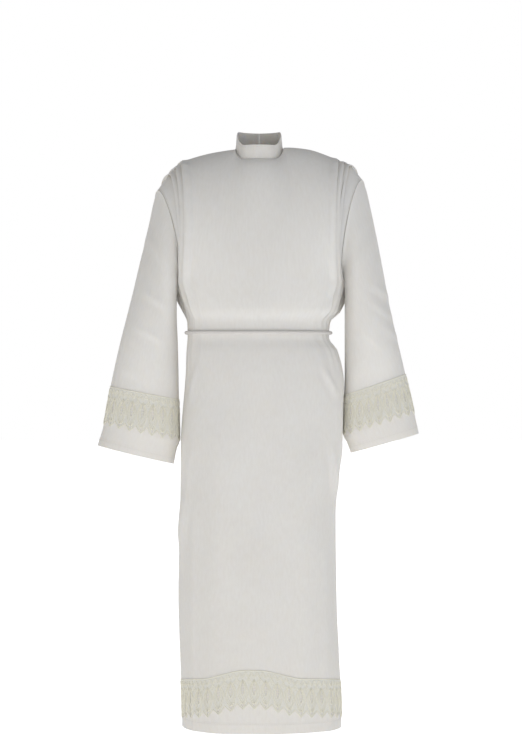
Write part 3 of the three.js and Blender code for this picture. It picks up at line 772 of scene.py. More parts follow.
def linear(code):
    """An sRGB hex colour as linear red, green, blue and alpha."""
    values = [int(code[i:i + 2], 16) / 255 for i in (1, 3, 5)]
    return [v / 12.92 if v <= 0.04045 else ((v + 0.055) / 1.055) ** 2.4 for v in values] + [1.0]


def add(tree, kind, settings=None, links=None):
    """Adds a node, sets its properties and sockets, and links its sockets from others."""
    node = tree.nodes.new("ShaderNode" + kind)
    for name, value in (settings or {}).items():
        if isinstance(name, int) or name in node.inputs:
            node.inputs[name].default_value = value
        else:
            setattr(node, name, value)
    for name, source in (links or {}).items():
        tree.links.new(source, node.inputs[name])
    return node


def blank_material(name):
    """A new material without any nodes, and its node tree."""
    material = bpy.data.materials.new(name)
    material.use_nodes = True
    tree = material.node_tree
    tree.nodes.clear()
    return material, tree


def threads(tree, places, spacing_mm, axis):
    """Rounded threads side by side: a wave across the cloth, one period to each thread."""
    # A wave texture repeats once in pi / 10 of its scaled coordinate
    scale = math.pi / 10 / (spacing_mm * MM)
    return add(tree, "TexWave", {
        "wave_type": "BANDS", "bands_direction": axis, "wave_profile": "SIN",
        "Scale": scale, "Distortion": 0.6, "Detail": 1.0, "Detail Scale": 0.6,
    }, {"Vector": places}).outputs["Fac"]


def poplin(settings):
    """Polyester and cotton poplin, plain woven and pressed: matt, even and a little see-through,
    with fine crossed threads, faint slubs, a warm glow where light comes through it, and painted shade
    that darkens its colour behind the pleats and in the seams."""
    material, tree = blank_material("poplin_polycotton_plain_woven")
    places = add(tree, "Attribute", {"attribute_name": "cloth"}).outputs["Vector"]
    warp = threads(tree, places, settings.thread_spacing, "X")
    weft = threads(tree, places, settings.thread_spacing, "Y")
    weave = add(tree, "Math", {"operation": "MAXIMUM"}, {0: warp, 1: weft}).outputs[0]
    stretched = add(tree, "Mapping", {"Scale": SLUBS_PER_METRE}, {"Vector": places}).outputs[0]
    slubs = add(tree, "TexNoise", {"Scale": 1.0, "Detail": 3.0, "Roughness": 0.6},
                {"Vector": stretched}).outputs["Fac"]
    patches = add(tree, "TexNoise", {"Scale": PATCHES_PER_METRE, "Detail": 2.0},
                  {"Vector": places}).outputs["Fac"]
    tone = add(tree, "Math", {"operation": "MULTIPLY_ADD", 1: 2.0}, {0: slubs, 2: patches})
    shade = add(tree, "MapRange", {"From Min": 0.9, "From Max": 2.1}, {"Value": tone.outputs[0]})
    flat_tint = add(tree, "MixRGB", {"Color1": settings.cloth_shade, "Color2": settings.cloth_colour},
                    {"Fac": shade.outputs[0]}).outputs[0]
    # Painted shade: the colour is darkened towards the fold shade colour behind the pleats and in the seams
    depth = add(tree, "Attribute", {"attribute_name": "painted_fold_shade"}).outputs["Fac"]
    tint = add(tree, "MixRGB", {"Color2": linear(PAINTED_FOLD_SHADE)},
               {"Color1": flat_tint, "Fac": depth}).outputs[0]
    thread_bump = add(tree, "Bump", {"Strength": 0.25, "Distance": 0.0003}, {"Height": weave})
    slub_bump = add(tree, "Bump", {"Strength": 0.2, "Distance": 0.0004},
                    {"Height": slubs, "Normal": thread_bump.outputs[0]})
    shader = add(tree, "BsdfPrincipled", {
        "Roughness": 0.82, "IOR": 1.5, "Specular IOR Level": 0.25,
        "Sheen Weight": 0.12, "Sheen Roughness": 0.45,
        "Subsurface Weight": settings.cloth_glow, "Subsurface Radius": (1.0, 0.86, 0.66),
        "Subsurface Scale": 0.0025,
    }, {"Base Color": tint, "Normal": slub_bump.outputs[0]})
    add(tree, "OutputMaterial", None, {"Surface": shader.outputs[0]})
    return material


def net(settings):
    """Polyester net with machine embroidery, cream: its cells show as small pits between threads, darkened
    with painted shade.
    """
    material, tree = blank_material("lace_net_polyester_embroidered")
    places = add(tree, "Attribute", {"attribute_name": "cloth"}).outputs["Vector"]
    cells = add(tree, "TexVoronoi", {"Scale": 1 / (NET_CELL * MM), "Randomness": 0.25, "feature": "F1"},
                {"Vector": places}).outputs["Distance"]
    pits = add(tree, "MapRange", {"From Min": 0.15, "From Max": 0.6}, {"Value": cells}).outputs[0]
    # Painted shade: the pits take the net's darker shade colour
    tint = add(tree, "MixRGB", {"Color1": settings.net_shade, "Color2": settings.net_colour},
               {"Fac": pits}).outputs[0]
    bump = add(tree, "Bump", {"Strength": 0.6, "Distance": 0.0006}, {"Height": pits})
    shader = add(tree, "BsdfPrincipled", {
        "Roughness": 0.75, "IOR": 1.5, "Specular IOR Level": 0.3, "Sheen Weight": 0.1,
        "Subsurface Weight": 0.15, "Subsurface Radius": (1.0, 0.9, 0.7), "Subsurface Scale": 0.003,
    }, {"Base Color": tint, "Normal": bump.outputs[0]})
    add(tree, "OutputMaterial", None, {"Surface": shader.outputs[0]})
    return material


def twisted_thread(name, bright, shade, spacing_mm, roughness, sheen):
    """Twisted thread or yarn: fine slanting plies with a soft sheen along them, and painted shade in the
    grooves between the plies.
    """
    material, tree = blank_material(name)
    places = add(tree, "TexCoord").outputs["Object"]
    slanted = add(tree, "Mapping", {"Rotation": (0.5, 0.6, 0.7)}, {"Vector": places}).outputs[0]
    plies = threads(tree, slanted, spacing_mm, "X")
    # Painted shade: the grooves between the plies take the darker shade colour
    mixed = add(tree, "MixRGB", {"Color1": shade, "Color2": bright}, {"Fac": plies}).outputs[0]
    bump = add(tree, "Bump", {"Strength": 0.35, "Distance": 0.0003}, {"Height": plies})
    shader = add(tree, "BsdfPrincipled", {
        "Roughness": roughness, "IOR": 1.5, "Specular IOR Level": 0.35,
        "Sheen Weight": sheen, "Sheen Roughness": 0.35,
    }, {"Base Color": mixed, "Normal": bump.outputs[0]})
    add(tree, "OutputMaterial", None, {"Surface": shader.outputs[0]})
    return material


def painted_floor(settings):
    """Studio floor, painted matt and almost white, evenly lit so that it falls off to white."""
    material, tree = blank_material("floor_matt_paint")
    places = add(tree, "TexCoord").outputs["Object"]
    mottle = add(tree, "TexNoise", {"Scale": MOTTLES_PER_METRE, "Detail": 4.0},
                 {"Vector": places}).outputs["Fac"]
    tint = add(tree, "MixRGB", {"Color1": linear(FLOOR_SHADE), "Color2": settings.floor_colour},
               {"Fac": mottle}).outputs[0]
    # The floor is lit to white where it is seen, and gives the garment a softer light
    seen = add(tree, "LightPath").outputs["Is Camera Ray"]
    glow = add(tree, "MapRange", {"To Min": settings.floor_glow, "To Max": 1.0}, {"Value": seen})
    shader = add(tree, "BsdfPrincipled", {
        "Roughness": 0.9, "Specular IOR Level": 0.1, "Emission Color": settings.floor_colour,
    }, {"Base Color": tint, "Emission Strength": glow.outputs[0]})
    add(tree, "OutputMaterial", None, {"Surface": shader.outputs[0]})
    return material


def finish_named(name, make):
    """A material by name, made the first time it is asked for."""
    return bpy.data.materials.get(name) or make()


def cloth_finish(settings):
    return finish_named("poplin_polycotton_plain_woven", lambda: poplin(settings))


def net_finish(settings):
    return finish_named("lace_net_polyester_embroidered", lambda: net(settings))


def lace_cord_finish(settings):
    # Gimp cord: matt cotton plied at about 0.4 mm, drawn at 1.2 mm so that it shows
    return finish_named("lace_gimp_cotton_cord", lambda: twisted_thread(
        "lace_gimp_cotton_cord", settings.lace_colour, settings.lace_shade, 1.2, 0.7, 0.15))


def belt_finish(settings):
    # Rayon and cotton cord, twisted: yarns of about 1 mm with a clear sheen
    return finish_named("belt_cord_rayon_twisted", lambda: twisted_thread(
        "belt_cord_rayon_twisted", settings.cord_colour, linear(BELT_SHADE), 1.0, 0.55, 0.4))


def stitch_finish(settings):
    # Polyester sewing thread: two plies, with a slight shine
    return finish_named("sewing_thread_polyester", lambda: twisted_thread(
        "sewing_thread_polyester", settings.cloth_colour, linear(THREAD_SHADE), 0.8, 0.6, 0.1))


# Pieces of cloth

def panel_columns():
    """Signed shares of the panel's columns, closer together at the pleats' folded edges."""
    even = np.linspace(-1, 1, PANEL_COLUMNS + 1)
    near = np.array([-4, -2.5, -1.6, -1, -0.6, -0.2, 0.2, 0.6, 1, 1.6, 2.5, 4]) * PLEAT_FOLD
    extra = np.concatenate([[NECK_SHARE], *[edge + near for edge in PLEAT_EDGES]])
    wanted = np.concatenate([extra, -extra])
    clear = np.abs(even[:, None] - wanted).min(1) > PLEAT_FOLD
    clear[[0, -1]] = True
    return np.sort(np.concatenate([even[clear], wanted]))


def panel_lengths():
    shoulder = np.linspace(0, ARMPIT, SHOULDER_ROWS, endpoint=False)
    rows = round((HEM - ARMPIT) / SKIRT_ROW_STEP)
    skirt = np.linspace(ARMPIT, HEM, rows + 1)
    # Closer rows at the top seam and at the turned-up hem
    edges = [1.5, 3.5, HEM - HEM_TURN_UP - 2, HEM - HEM_TURN_UP - 1, HEM - HEM_TURN_UP, HEM - 1]
    return np.unique(np.concatenate([shoulder, skirt, edges]))


def painted_pleat_shade(u, down, drop):
    """Painted shade of a point's colour, by how deep it lies behind the folded edge of a pleat, or in the
    armhole seam.
    """
    hold = 1 - smoothstep(drop, PLEAT_HOLD, PLEAT_END)
    total = np.zeros(np.shape(u))
    for edge in PLEAT_EDGES:
        past = np.abs(u) - edge
        total += np.where(past > PLEAT_FOLD / 2, np.exp(-(past / PLEAT_SHADE_REACH) ** 2), 0)
    seam = np.exp(-((1 - np.abs(u)) * HEM_HALF_WIDTH * QUARTER / SEAM_SHADE_REACH) ** 2)
    armhole = ARMHOLE_SHADE * seam * (down < ARMPIT)
    return np.clip(PLEAT_SHADE * hold * total + armhole, 0, 1)


def cloth_piece(name, node, outer, outward, closed, flat, shade, settings):
    """A sheet of poplin from its outer surface inward, with its places on the flat cloth."""
    points, faces = wall_between(outer, outer - outward * WALL, closed)
    flat = flat.reshape(-1, 2)
    piece = mesh_object(name, points, turned_outward(points, faces), cloth_finish(settings),
                        np.concatenate([flat, flat]), shade=np.tile(shade.ravel(), 2))
    return dress(piece, "alb_cloth", node)


def make_panel(face, settings):
    u, down = np.meshgrid(panel_columns(), panel_lengths())
    outer = panel(face, u, down)
    flat = np.stack([u * HEM_HALF_WIDTH * PANEL_SPREAD, down], -1)
    shade = painted_pleat_shade(u, down, -outer[..., 2])
    return cloth_piece(f"alb_{face}", face, outer, panel_base(face, u, down)[1], False, flat, shade,
                       settings)


def sleeve_lengths(side):
    """Lengths of the sleeve's rows, closer together at its head seam and its turned-up hem."""
    length = sleeve_length(side)
    turned = length - CUFF_TURN_UP
    even = np.linspace(0, length, round(length / SLEEVE_ROW_STEP) + 1)
    return np.union1d(even, [1.5, 3, 4, 5, 7, 8.5, turned - 2, turned - 1, turned, length - 1])


def make_sleeve(side, settings):
    around, along = np.meshgrid(np.arange(SLEEVE_COLUMNS) / SLEEVE_COLUMNS, sleeve_lengths(side))
    outer = sleeve(side, around, along)
    flat = np.stack([np.abs(around - 0.5) * 4 * CUFF_HALF_WIDTH * SLEEVE_SPREAD, along], -1)
    # Painted shade along the sleeve's head seam
    shade = SLEEVE_HEAD_SHADE * np.exp(-(along / SEAM_SHADE_REACH) ** 2)
    return cloth_piece(f"alb_sleeve_{side}", f"sleeve_{side}", outer,
                       sleeve_outward(side, around, along), True, flat, shade, settings)


def collar_lean(lift):
    return (lift / COLLAR_HEIGHT) ** COLLAR_LEAN_CURVE * COLLAR_LEAN


def collar_profile():
    """Cross-section of the collar: inset and lift, up the outside, over the fold and down inside."""
    top = COLLAR_HEIGHT - COLLAR_TOP_ROUND
    lifts = np.linspace(0.3, top, 12)
    lean = collar_lean(lifts)
    over = np.linspace(0, math.pi, 7)[1:-1]
    inset = np.concatenate([lean, COLLAR_LEAN + COLLAR_WALL / 2 * (1 - np.cos(over)),
                            lean[::-1] + COLLAR_WALL])
    return inset, np.concatenate([lifts, top + COLLAR_TOP_ROUND * np.sin(over), lifts[::-1]])


def collar_surface(degrees, inset, lift):
    """Points of the collar at an inset from its foot and a lift, softly swaying, and the way inward."""
    base = neck_point(degrees)
    inward = unit(np.array([NECK_X, 0, 0]) - base * np.array([1, 1, 0]))
    wave = sum(rise * np.sin(np.radians(degrees * count) + phase) for rise, count, phase in COLLAR_WAVES)
    sway = np.sin(lift / COLLAR_HEIGHT * math.pi * COLLAR_SWAY_TURN) * wave
    return base + inward * (inset + sway)[..., None] + UP * np.asarray(lift)[..., None], inward


def make_collar(settings):
    inset, lift = collar_profile()
    end = 180 - COLLAR_GAP_DEGREES
    degrees = np.linspace(-end, end, 181)
    points, _ = collar_surface(degrees, inset[:, None], lift[:, None])
    rows, columns = points.shape[:2]
    ids = np.arange(rows * columns).reshape(rows, columns)
    faces = grid_faces(np.concatenate([ids, ids[:1]])).tolist()
    faces += [ids[:, 0].tolist(), ids[::-1, -1].tolist()]
    flat = np.stack(np.broadcast_arrays(degrees * COLLAR_PER_DEGREE, lift[:, None]), -1)
    piece = mesh_object("alb_collar", points.reshape(-1, 3), faces, cloth_finish(settings),
                        flat.reshape(-1, 2), sharp=65)
    return dress(piece, "alb_cloth", "collar")


# Lace

def pointed_oval(top, foot, half_width, count, power=0.9):
    """A closed outline, pointed at both ends: places across and down the repeat."""
    t = np.linspace(0, 1, count // 2 + 1)
    width = half_width * np.sin(math.pi * t) ** power
    down = lerp(top, foot, t)
    return np.stack([np.concatenate([width, -width[-2:0:-1]]),
                     np.concatenate([down, down[-2:0:-1]])], -1)


def line(points, count):
    """An open line through points, with evenly placed steps."""
    points = np.array(points, float)
    return read_path(points, np.linspace(0, distances(points)[-1], count))


def scallop(share):
    """Depth of the lace's foot across the repeat, pointed in the middle."""
    return SCALLOP_FROM + (1 - SCALLOP_FROM) * (1 - np.abs(share)) ** 0.85


# Outlines of one repeat: across from -1 to 1, and down from 0 at the head to 1 at the foot
EYE_HOLE = pointed_oval(0.30, 0.62, 0.28, 20)
FOOT_HOLE = pointed_oval(0.79, 0.93, 0.22, 14)
HALF_DROP = pointed_oval(0.255, 0.345, 0.22, 12, 1.3)
EYE_BARS = ((0.24, 0.40), (0.27, 0.47), (0.22, 0.54))
WIDE_STEPS = np.linspace(-1, 1, 17)


def lace_outlines():
    """Raised cords of one repeat: points across and down, radius, and whether they close."""
    wave = 0.105 + 0.05 * np.cos(WIDE_STEPS * 2 * math.pi)
    small_arcs = np.stack([WIDE_STEPS, wave], -1)
    inner_arcs = np.stack([WIDE_STEPS, wave * 0.7 + 0.085], -1)
    rise = np.linspace(0, 1, 9)
    arch = np.stack([0.12 + 0.88 * rise ** 0.75, 0.375 - 0.165 * rise ** 0.6 - 0.005], -1)
    edge = np.stack([WIDE_STEPS, scallop(WIDE_STEPS) - 0.008], -1)
    u_shape = np.linspace(-1, 1, 11)
    cup = np.stack([0.62 * u_shape, 0.765 + 0.085 * (1 - u_shape ** 2)], -1)
    return [
        (line([(-1, 0.012), (1, 0.012)], 7), LACE_CORD, False),
        (small_arcs, LACE_CORD, False), (inner_arcs, LACE_FINE_CORD, False),
        (arch, LACE_CORD, False), (arch * [-1, 1], LACE_CORD, False),
        (pointed_oval(0.235, 0.845, 0.88, 32), LACE_CORD, True),
        (pointed_oval(0.262, 0.775, 0.66, 28), LACE_FINE_CORD, True),
        (pointed_oval(0.285, 0.655, 0.40, 24), LACE_CORD, True),
        *[(line([(-half, down), (half, down)], 3), LACE_FINE_CORD, False) for half, down in EYE_BARS],
        (cup, LACE_CORD, False), (edge, LACE_CORD, False),
        (pointed_oval(0.775, 0.945, 0.33, 16), LACE_FINE_CORD, True),
    ]


def inside(points, outline):
    """Which points lie inside a closed outline."""
    x, y = points[:, :1], points[:, 1:]
    ax, ay = outline[:, 0], outline[:, 1]
    bx, by = np.roll(ax, -1), np.roll(ay, -1)
    gap = np.where(by == ay, 1e-12, by - ay)
    crosses = ((ay > y) != (by > y)) & (x < (bx - ax) * (y - ay) / gap + ax)
    return crosses.sum(1) % 2 == 1


def net_pattern():
    """The flat net of one repeat, with its scallop and holes: places, and triangles."""
    side = np.linspace(0, SCALLOP_FROM, 12)
    foot = WIDE_STEPS[1:-1]
    top = np.linspace(1, -1, 7)[1:-1]
    outline = np.concatenate([
        np.stack([-np.ones(12), side], -1), np.stack([foot, scallop(foot)], -1),
        np.stack([np.ones(12), side[::-1]], -1), np.stack([top, 0 * top], -1),
    ])
    rings = [outline, EYE_HOLE, FOOT_HOLE]
    grid = np.stack(np.meshgrid(np.linspace(-0.8, 0.8, 6), np.linspace(0.06, 0.9, 13)), -1).reshape(-1, 2)
    keep = inside(grid, outline)
    for hole in rings[1:]:
        keep &= ~inside(grid, (hole - hole.mean(0)) * HOLE_MARGIN + hole.mean(0))
    keep &= grid[:, 1] < scallop(grid[:, 0]) - FOOT_MARGIN
    points = np.concatenate([*rings, grid[keep]])
    edges, start = [], 0
    for ring in rings:
        count = len(ring)
        edges += [(start + i, start + (i + 1) % count) for i in range(count)]
        start += count
    made = geometry.delaunay_2d_cdt([Vector(p) for p in points], edges, [], 0, 1e-6)
    places = np.array([tuple(p) for p in made[0]])
    triangles = np.array([face for face in made[2] if len(face) == 3])
    centres = places[triangles].mean(1)
    solid = inside(centres, outline) & ~inside(centres, EYE_HOLE) & ~inside(centres, FOOT_HOLE)
    return places, triangles[solid]


def repeated(pattern, count):
    """The pattern's places for each repeat in a row: share of the band's length, and down."""
    across = (pattern[None, :, 0] + 1) / 2 + np.arange(count)[:, None]
    return across / count, np.broadcast_to(pattern[None, :, 1], across.shape)


def net_band(place, count):
    """The net of a whole band as a closed thin body, with each point's place on the flat band."""
    places, triangles = net_pattern()
    across, down = repeated(places, count)
    over, under = place(across, down, NET_LIFT + NET_WALL), place(across, down, NET_LIFT)
    size = len(places)
    ids = triangles[None] + (np.arange(count) * size)[:, None, None]
    faces = np.concatenate([ids.reshape(-1, 3), ids.reshape(-1, 3)[:, ::-1] + size * count])
    sides = np.concatenate([triangles[:, [0, 1]], triangles[:, [1, 2]], triangles[:, [2, 0]]])
    seen = {tuple(edge) for edge in sides.tolist()}
    rim = np.array([edge for edge in sides.tolist() if (edge[1], edge[0]) not in seen])
    walls = []
    for repeat in range(count):
        for a, b in rim:
            shared = (places[a, 0] == places[b, 0]) and abs(places[a, 0]) == 1
            at_end = (repeat == 0 and places[a, 0] < 0) or (repeat == count - 1 and places[a, 0] > 0)
            if shared and not at_end:
                continue
            p, q = a + repeat * size, b + repeat * size
            walls += [(q, p, p + size * count), (q, p + size * count, q + size * count)]
    points = np.concatenate([over.reshape(-1, 3), under.reshape(-1, 3)])
    return points, np.concatenate([faces, np.array(walls)]), across, down


def cords_band(place, normal, count):
    """The raised cords of a whole band, as points and faces."""
    rows = [(*repeated(outline, count), radius, closed) for outline, radius, closed in lace_outlines()]
    across, down = repeated(HALF_DROP + [1, 0], count)
    rows.append((across[:-1], down[:-1], LACE_FINE_CORD, True))
    parts = []
    for across, down, radius, closed in rows:
        lift = NET_LIFT + NET_WALL + radius * LACE_CORD_OUT
        parts.append(tubes(place(across, down, lift), normal(across, down), radius,
                           LACE_CORD_SIDES, closed))
    return joined(parts)


def merge_repeats(piece):
    """Joins the points that neighbouring repeats share."""
    made = bmesh.new()
    made.from_mesh(piece.data)
    bmesh.ops.remove_doubles(made, verts=made.verts, dist=MERGE_DISTANCE * MM)
    made.to_mesh(piece.data)
    made.free()


def flat_share():
    """Share of a lace band's rectangle that its net covers."""
    places, triangles = net_pattern()
    a, b, c = (places[triangles[:, k]] for k in range(3))
    double = (b[:, 0] - a[:, 0]) * (c[:, 1] - a[:, 1]) - (b[:, 1] - a[:, 1]) * (c[:, 0] - a[:, 0])
    return np.abs(double).sum() / 2 / 2


def make_lace(node, surface, sign, to_cloth, count, size, settings):
    """One band of lace on a cloth piece. to_cloth turns places on the band to places on the cloth."""
    def normal(across, down):
        return outward_of(surface, sign, *to_cloth(across, down))

    def place(across, down, lift):
        return surface(*to_cloth(across, down)) + normal(across, down) * lift

    points, faces, across, down = net_band(place, count)
    flat = np.stack([across.ravel() * size[0], down.ravel() * size[1]], -1)
    ground = mesh_object(f"{node}_band_net", points, turned_outward(points, faces),
                         net_finish(settings), np.concatenate([flat, flat]), sharp=40)
    merge_repeats(ground)
    dress(ground, "lace", node)
    points, faces = cords_band(place, normal, count)
    cords = mesh_object(f"{node}_band_cords", points, faces, lace_cord_finish(settings), sharp=80)
    dress(cords, "lace")
    width, height = size[0] * MM, size[1] * MM
    flat_share() * width * height


def make_hem_lace(face, settings):
    def to_cloth(across, down):
        u = across * 2 - 1
        return u, lace_foot(u) - HEM_LACE_HEIGHT * (1 - down)

    size = (HEM_HALF_WIDTH * 2 * PANEL_SPREAD, HEM_LACE_HEIGHT)
    make_lace(f"lace_hem_{face}", partial(panel, face), FACES[face], to_cloth,
              HEM_REPEATS, size, settings)


def make_cuff_lace(side, face, settings):
    rings = SLEEVE_RINGS[side]["along"]
    top, foot = rings[CUFF_LACE_TOP_RING], rings[CUFF_LACE_TOP_RING + 1]
    start = 0 if face == "front" else 0.5

    def to_cloth(across, down):
        return start + across / 2, lerp(top, foot, down)

    size = (CUFF_LACE_FLAT_WIDTH, foot - top)
    make_lace(f"lace_cuff_{side}_{face}", partial(sleeve, side), SIDES[side],
              to_cloth, CUFF_REPEATS, size, settings)


# Cord belt

def belt_route():
    """The belt's middle line round the waist, from the knot and back to it, taut over the gathers."""
    reach = STRAND_RADIUS + STRAND_OFFSET + CORD_GAP
    legs = []
    for face, start, end in (("back", 0, -1), ("front", -1, 1), ("back", 1, 0)):
        u = np.linspace(start, end, BELT_LEG_POINTS)
        legs.append(panel(face, u, WAIST) + section_normal(face, u, WAIST + 0 * u) * reach)
    # A leg ends where the next one begins
    route = np.concatenate([legs[0][:-1], legs[1][:-1], legs[2]])
    weights = np.hanning(BELT_SMOOTHING)
    weights /= weights.sum()
    past_end = BELT_SMOOTHING // 2 + 1
    padded = np.concatenate([route[-past_end:-1], route, route[1:past_end]])
    smooth = np.stack([np.convolve(padded[:, k], weights, "valid") for k in range(3)], -1)
    return np.concatenate([smooth, smooth[:1]])


def distances(path):
    """Distance of each point of a path from its start, along the path."""
    return np.concatenate([[0], np.cumsum(np.linalg.norm(np.diff(path, axis=0), axis=1))])


def read_path(path, at):
    """Points, or other rows of three, at distances along a path."""
    lengths = distances(path)
    return np.stack([np.interp(at, lengths, path[:, k]) for k in range(path.shape[1])], -1)


def even_steps(route, step):
    length = distances(route)[-1]
    at = np.linspace(0, length, round(length / step) + 1)
    return read_path(route, at), at


def strands(route, at, beside, above):
    """Three strands twisted round a route, as points and faces."""
    parts = []
    for k in range(STRAND_COUNT):
        turn = 2 * math.pi * (at / CORD_PITCH + k / STRAND_COUNT)
        out = beside * np.cos(turn)[:, None] + above * np.sin(turn)[:, None]
        path = route + out * STRAND_OFFSET
        parts.append(tubes(path[None], out[None], STRAND_RADIUS, STRAND_SIDES, False))
    return joined(parts)


def knot_path():
    """An overhand knot pulled tight, lying against the back."""
    t = np.linspace(0, 2 * math.pi, 91)
    flat = np.stack([np.sin(t) + 2 * np.sin(2 * t), np.cos(t) - 2 * np.cos(2 * t), -np.sin(3 * t)], -1)
    low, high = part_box("cincture_knot")
    centre = np.array((low + high) / 2) / MM
    return centre + np.stack([flat[:, 0] / 3, flat[:, 2], flat[:, 1] / 3], -1) * KNOT_HALF_SIZE


def belt_piece(name, node, points, faces, settings):
    piece = mesh_object(name, points, faces, belt_finish(settings), sharp=80)
    dress(piece, "cord", node)


def make_belt(settings):
    route, at = even_steps(belt_route(), CORD_STEP)
    along = unit(np.gradient(route, axis=0))
    beside = unit(np.cross(along, UP))
    belt_piece("belt_cord", "cincture", *strands(route, at, beside, np.cross(beside, along)), settings)
    path, _ = even_steps(knot_path(), KNOT_CORD_STEP)
    outward = unit(path - path.mean(0))
    knot = tubes(path[None], outward[None], KNOT_CORD_RADIUS, KNOT_CORD_SIDES, False)
    belt_piece("belt_knot", "cincture_knot", *knot, settings)


# Stitches

def stitches(path, normals):
    """Short stitches along a line, each a small spindle, as points and faces."""
    lengths = distances(path)
    starts = np.arange(STITCH_SPACING / 2, lengths[-1] - STITCH_LENGTH, STITCH_SPACING)
    at = starts[:, None] + STITCH_PLACES * STITCH_LENGTH
    where = read_path(path, at)
    off = unit(np.stack([np.interp(at, lengths, normals[:, k]) for k in range(3)], -1))
    return tubes(where + off * STITCH_LIFT[:, None], off, STITCH_TAPER * STITCH_RADIUS,
                 STITCH_SIDES, False)


def stitch_row(surface, sign, a, b):
    a, b = np.broadcast_arrays(np.asarray(a, float), np.asarray(b, float))
    return stitches(surface(a, b), outward_of(surface, sign, a, b))


def panel_stitches(face):
    surface, sign = partial(panel, face), FACES[face]
    yield stitch_row(surface, sign, np.linspace(-0.99, 0.99, 700), HEM - HEM_TURN_UP + STITCH_FROM_EDGE)
    for half in SIDES.values():
        yield stitch_row(surface, sign, half * ARMHOLE_STITCHES_AT, np.linspace(6, ARMPIT - 4, 200))


def sleeve_stitches(side):
    at = sleeve_length(side) - CUFF_TURN_UP + STITCH_FROM_EDGE
    yield stitch_row(partial(sleeve, side), SIDES[side], np.linspace(0.0, 0.998, 600), at)


def collar_stitches():
    degrees = np.linspace(-178, 178, 360)
    for lift in COLLAR_STITCHES_AT:
        points, inward = collar_surface(degrees, collar_lean(lift), lift)
        yield stitches(points, -inward)


def make_stitches(settings):
    rows = [row for face in FACES for row in panel_stitches(face)]
    rows += [row for side in SIDES for row in sleeve_stitches(side)]
    rows += collar_stitches()
    piece = mesh_object("seam_stitches", *joined(rows), stitch_finish(settings), sharp=80)
    dress(piece, "alb_cloth")


# Stage

def make_stage(settings):
    half = FLOOR_SIZE / 2
    corners = np.array([(-half, -half, FLOOR_Z), (half, -half, FLOOR_Z),
                        (half, half, FLOOR_Z), (-half, half, FLOOR_Z)]) / MM
    floor = mesh_object("floor", corners, [[0, 1, 2, 3]], painted_floor(settings))
    world = bpy.data.worlds.new("studio")
    world.use_nodes = True
    tree = world.node_tree
    tree.nodes.clear()
    # The walls are lit white of their own, and the garment gets the softer light of the room
    seen = add(tree, "LightPath").outputs["Is Camera Ray"]
    strength = add(tree, "MapRange", {"To Min": settings.room_light, "To Max": 1.0}, {"Value": seen})
    walls = add(tree, "Background", {"Color": linear("#FFFFFF")}, {"Strength": strength.outputs[0]})
    add(tree, "OutputWorld", None, {"Surface": walls.outputs[0]})
    bpy.context.scene.world = world
    for lamp in LAMPS:
        light = bpy.data.lights.new(lamp.name, "AREA")
        light.size = lamp.size
        light.energy = settings.key_light * lamp.share
        light.color = linear(lamp.tint)[:3]
        holder = bpy.data.objects.new(lamp.name, light)
        holder.location = lamp.place
        aim = Vector(LAMPS_AIM) - Vector(lamp.place)
        holder.rotation_euler = aim.to_track_quat("-Z", "Y").to_euler()
        holder.visible_camera = False
        bpy.context.scene.collection.objects.link(holder)


def make_camera():
    data = bpy.data.cameras.new("camera")
    data.sensor_width = CAMERA_SENSOR
    data.lens = CAMERA_LENS
    camera = bpy.data.objects.new("camera", data)
    camera.location = (CAMERA_X, -CAMERA_DISTANCE, CAMERA_Z)
    camera.rotation_euler = (QUARTER, 0, 0)
    bpy.context.scene.collection.objects.link(camera)
    bpy.context.scene.camera = camera


# The add-on

def colour(name, code, description):
    return bpy.props.FloatVectorProperty(
        name=name, description=description, subtype="COLOR", size=4, min=0, max=1, default=linear(code))


class AlbSettings(bpy.types.PropertyGroup):
    """Sizes and colours of the alb and its stage."""
    cloth_colour: colour("Cloth", "#EDEBE7", "Poplin at its lightest")
    cloth_shade: colour("Cloth shade", "#E7E4DF", "Poplin where its threads lie closer")
    lace_colour: colour("Lace", "#FAF8EB", "Lace cords")
    lace_shade: colour("Lace shade", "#EDE9D8", "Shaded side of the lace cords")
    net_colour: colour("Net", "#F2F1E9", "Lace net at its lightest")
    net_shade: colour("Net shade", "#E6E4D9", "Small cells of the lace net")
    cord_colour: colour("Belt cord", "#EFEDEB", "Twisted belt cord")
    floor_colour: colour("Floor", "#FFFFFF", "Studio floor")
    thread_spacing: bpy.props.FloatProperty(
        name="Thread spacing", default=2.4, min=0.5, max=8,
        description="In millimetres. Real threads lie 0.4 mm apart, too fine to show")
    cloth_glow: bpy.props.FloatProperty(
        name="Glow", default=0.3, min=0, max=1, subtype="FACTOR",
        description="How much light the thin cloth lets through")
    floor_glow: bpy.props.FloatProperty(
        name="Floor glow", default=0.6, min=0, max=2, description="How far the floor is lit to white")
    room_light: bpy.props.FloatProperty(
        name="Room light", default=0.35, min=0, max=5, description="Even white light all round")
    key_light: bpy.props.FloatProperty(
        name="Key light", default=11.5, min=0, max=500, unit="POWER",
        description="Soft light from the left, which sets the other lamps too")


class ALB_OT_panels(bpy.types.Operator):
    """Makes the front and back panels with their pleats and folds"""
    bl_idname = "alb.panels"
    bl_label = "Front and back"

    def execute(self, context):
        for face in FACES:
            piece = make_panel(face, context.scene.alb)
        return {"FINISHED"}


class ALB_OT_sleeves(bpy.types.Operator):
    """Makes both sleeves"""
    bl_idname = "alb.sleeves"
    bl_label = "Sleeves"

    def execute(self, context):
        for side in SIDES:
            piece = make_sleeve(side, context.scene.alb)
        return {"FINISHED"}


class ALB_OT_collar(bpy.types.Operator):
    """Makes the stand collar"""
    bl_idname = "alb.collar"
    bl_label = "Collar"

    def execute(self, context):
        piece = make_collar(context.scene.alb)
        return {"FINISHED"}


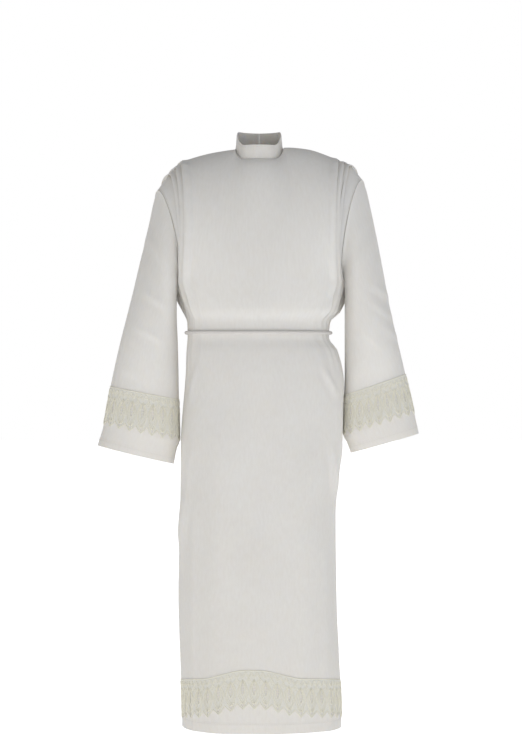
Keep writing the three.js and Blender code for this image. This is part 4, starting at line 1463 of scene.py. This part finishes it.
class ALB_OT_lace(bpy.types.Operator):
    """Makes the lace bands on the hem and both cuffs"""
    bl_idname = "alb.lace"
    bl_label = "Lace"

    def execute(self, context):
        for face in FACES:
            make_hem_lace(face, context.scene.alb)
            for side in SIDES:
                make_cuff_lace(side, face, context.scene.alb)
        return {"FINISHED"}


class ALB_OT_belt(bpy.types.Operator):
    """Makes the twisted cord belt and its knot"""
    bl_idname = "alb.belt"
    bl_label = "Cord belt"

    def execute(self, context):
        make_belt(context.scene.alb)
        return {"FINISHED"}


class ALB_OT_stitches(bpy.types.Operator):
    """Makes the rows of stitches at the hems, armholes and collar"""
    bl_idname = "alb.stitches"
    bl_label = "Stitches"

    def execute(self, context):
        make_stitches(context.scene.alb)
        return {"FINISHED"}


class ALB_OT_stage(bpy.types.Operator):
    """Makes the floor, lights and camera"""
    bl_idname = "alb.stage"
    bl_label = "Stage"

    def execute(self, context):
        make_stage(context.scene.alb)
        make_camera()
        return {"FINISHED"}


OPERATORS = (ALB_OT_stage, ALB_OT_panels, ALB_OT_sleeves, ALB_OT_collar, ALB_OT_lace, ALB_OT_belt,
             ALB_OT_stitches)


class ALB_PT_panel(bpy.types.Panel):
    """Lists the alb's settings and the steps that build it"""
    bl_idname = "ALB_PT_panel"
    bl_label = "Alb"
    bl_space_type = "VIEW_3D"
    bl_region_type = "UI"
    bl_category = "Alb"

    def draw(self, context):
        for name in AlbSettings.__annotations__:
            self.layout.prop(context.scene.alb, name)
        for operator in OPERATORS:
            self.layout.operator(operator.bl_idname)


CLASSES = (AlbSettings, *OPERATORS, ALB_PT_panel)


def register():
    for one in CLASSES:
        bpy.utils.register_class(one)
    bpy.types.Scene.alb = bpy.props.PointerProperty(type=AlbSettings)


def unregister():
    del bpy.types.Scene.alb
    for one in reversed(CLASSES):
        bpy.utils.unregister_class(one)


def main():
    register()
    for step in (bpy.ops.alb.stage, bpy.ops.alb.panels, bpy.ops.alb.sleeves, bpy.ops.alb.collar,
                 bpy.ops.alb.lace, bpy.ops.alb.belt, bpy.ops.alb.stitches):
        step()
    # White stays plain white
    bpy.context.scene.view_settings.view_transform = "Standard"


if __name__ == "__main__":
    main()
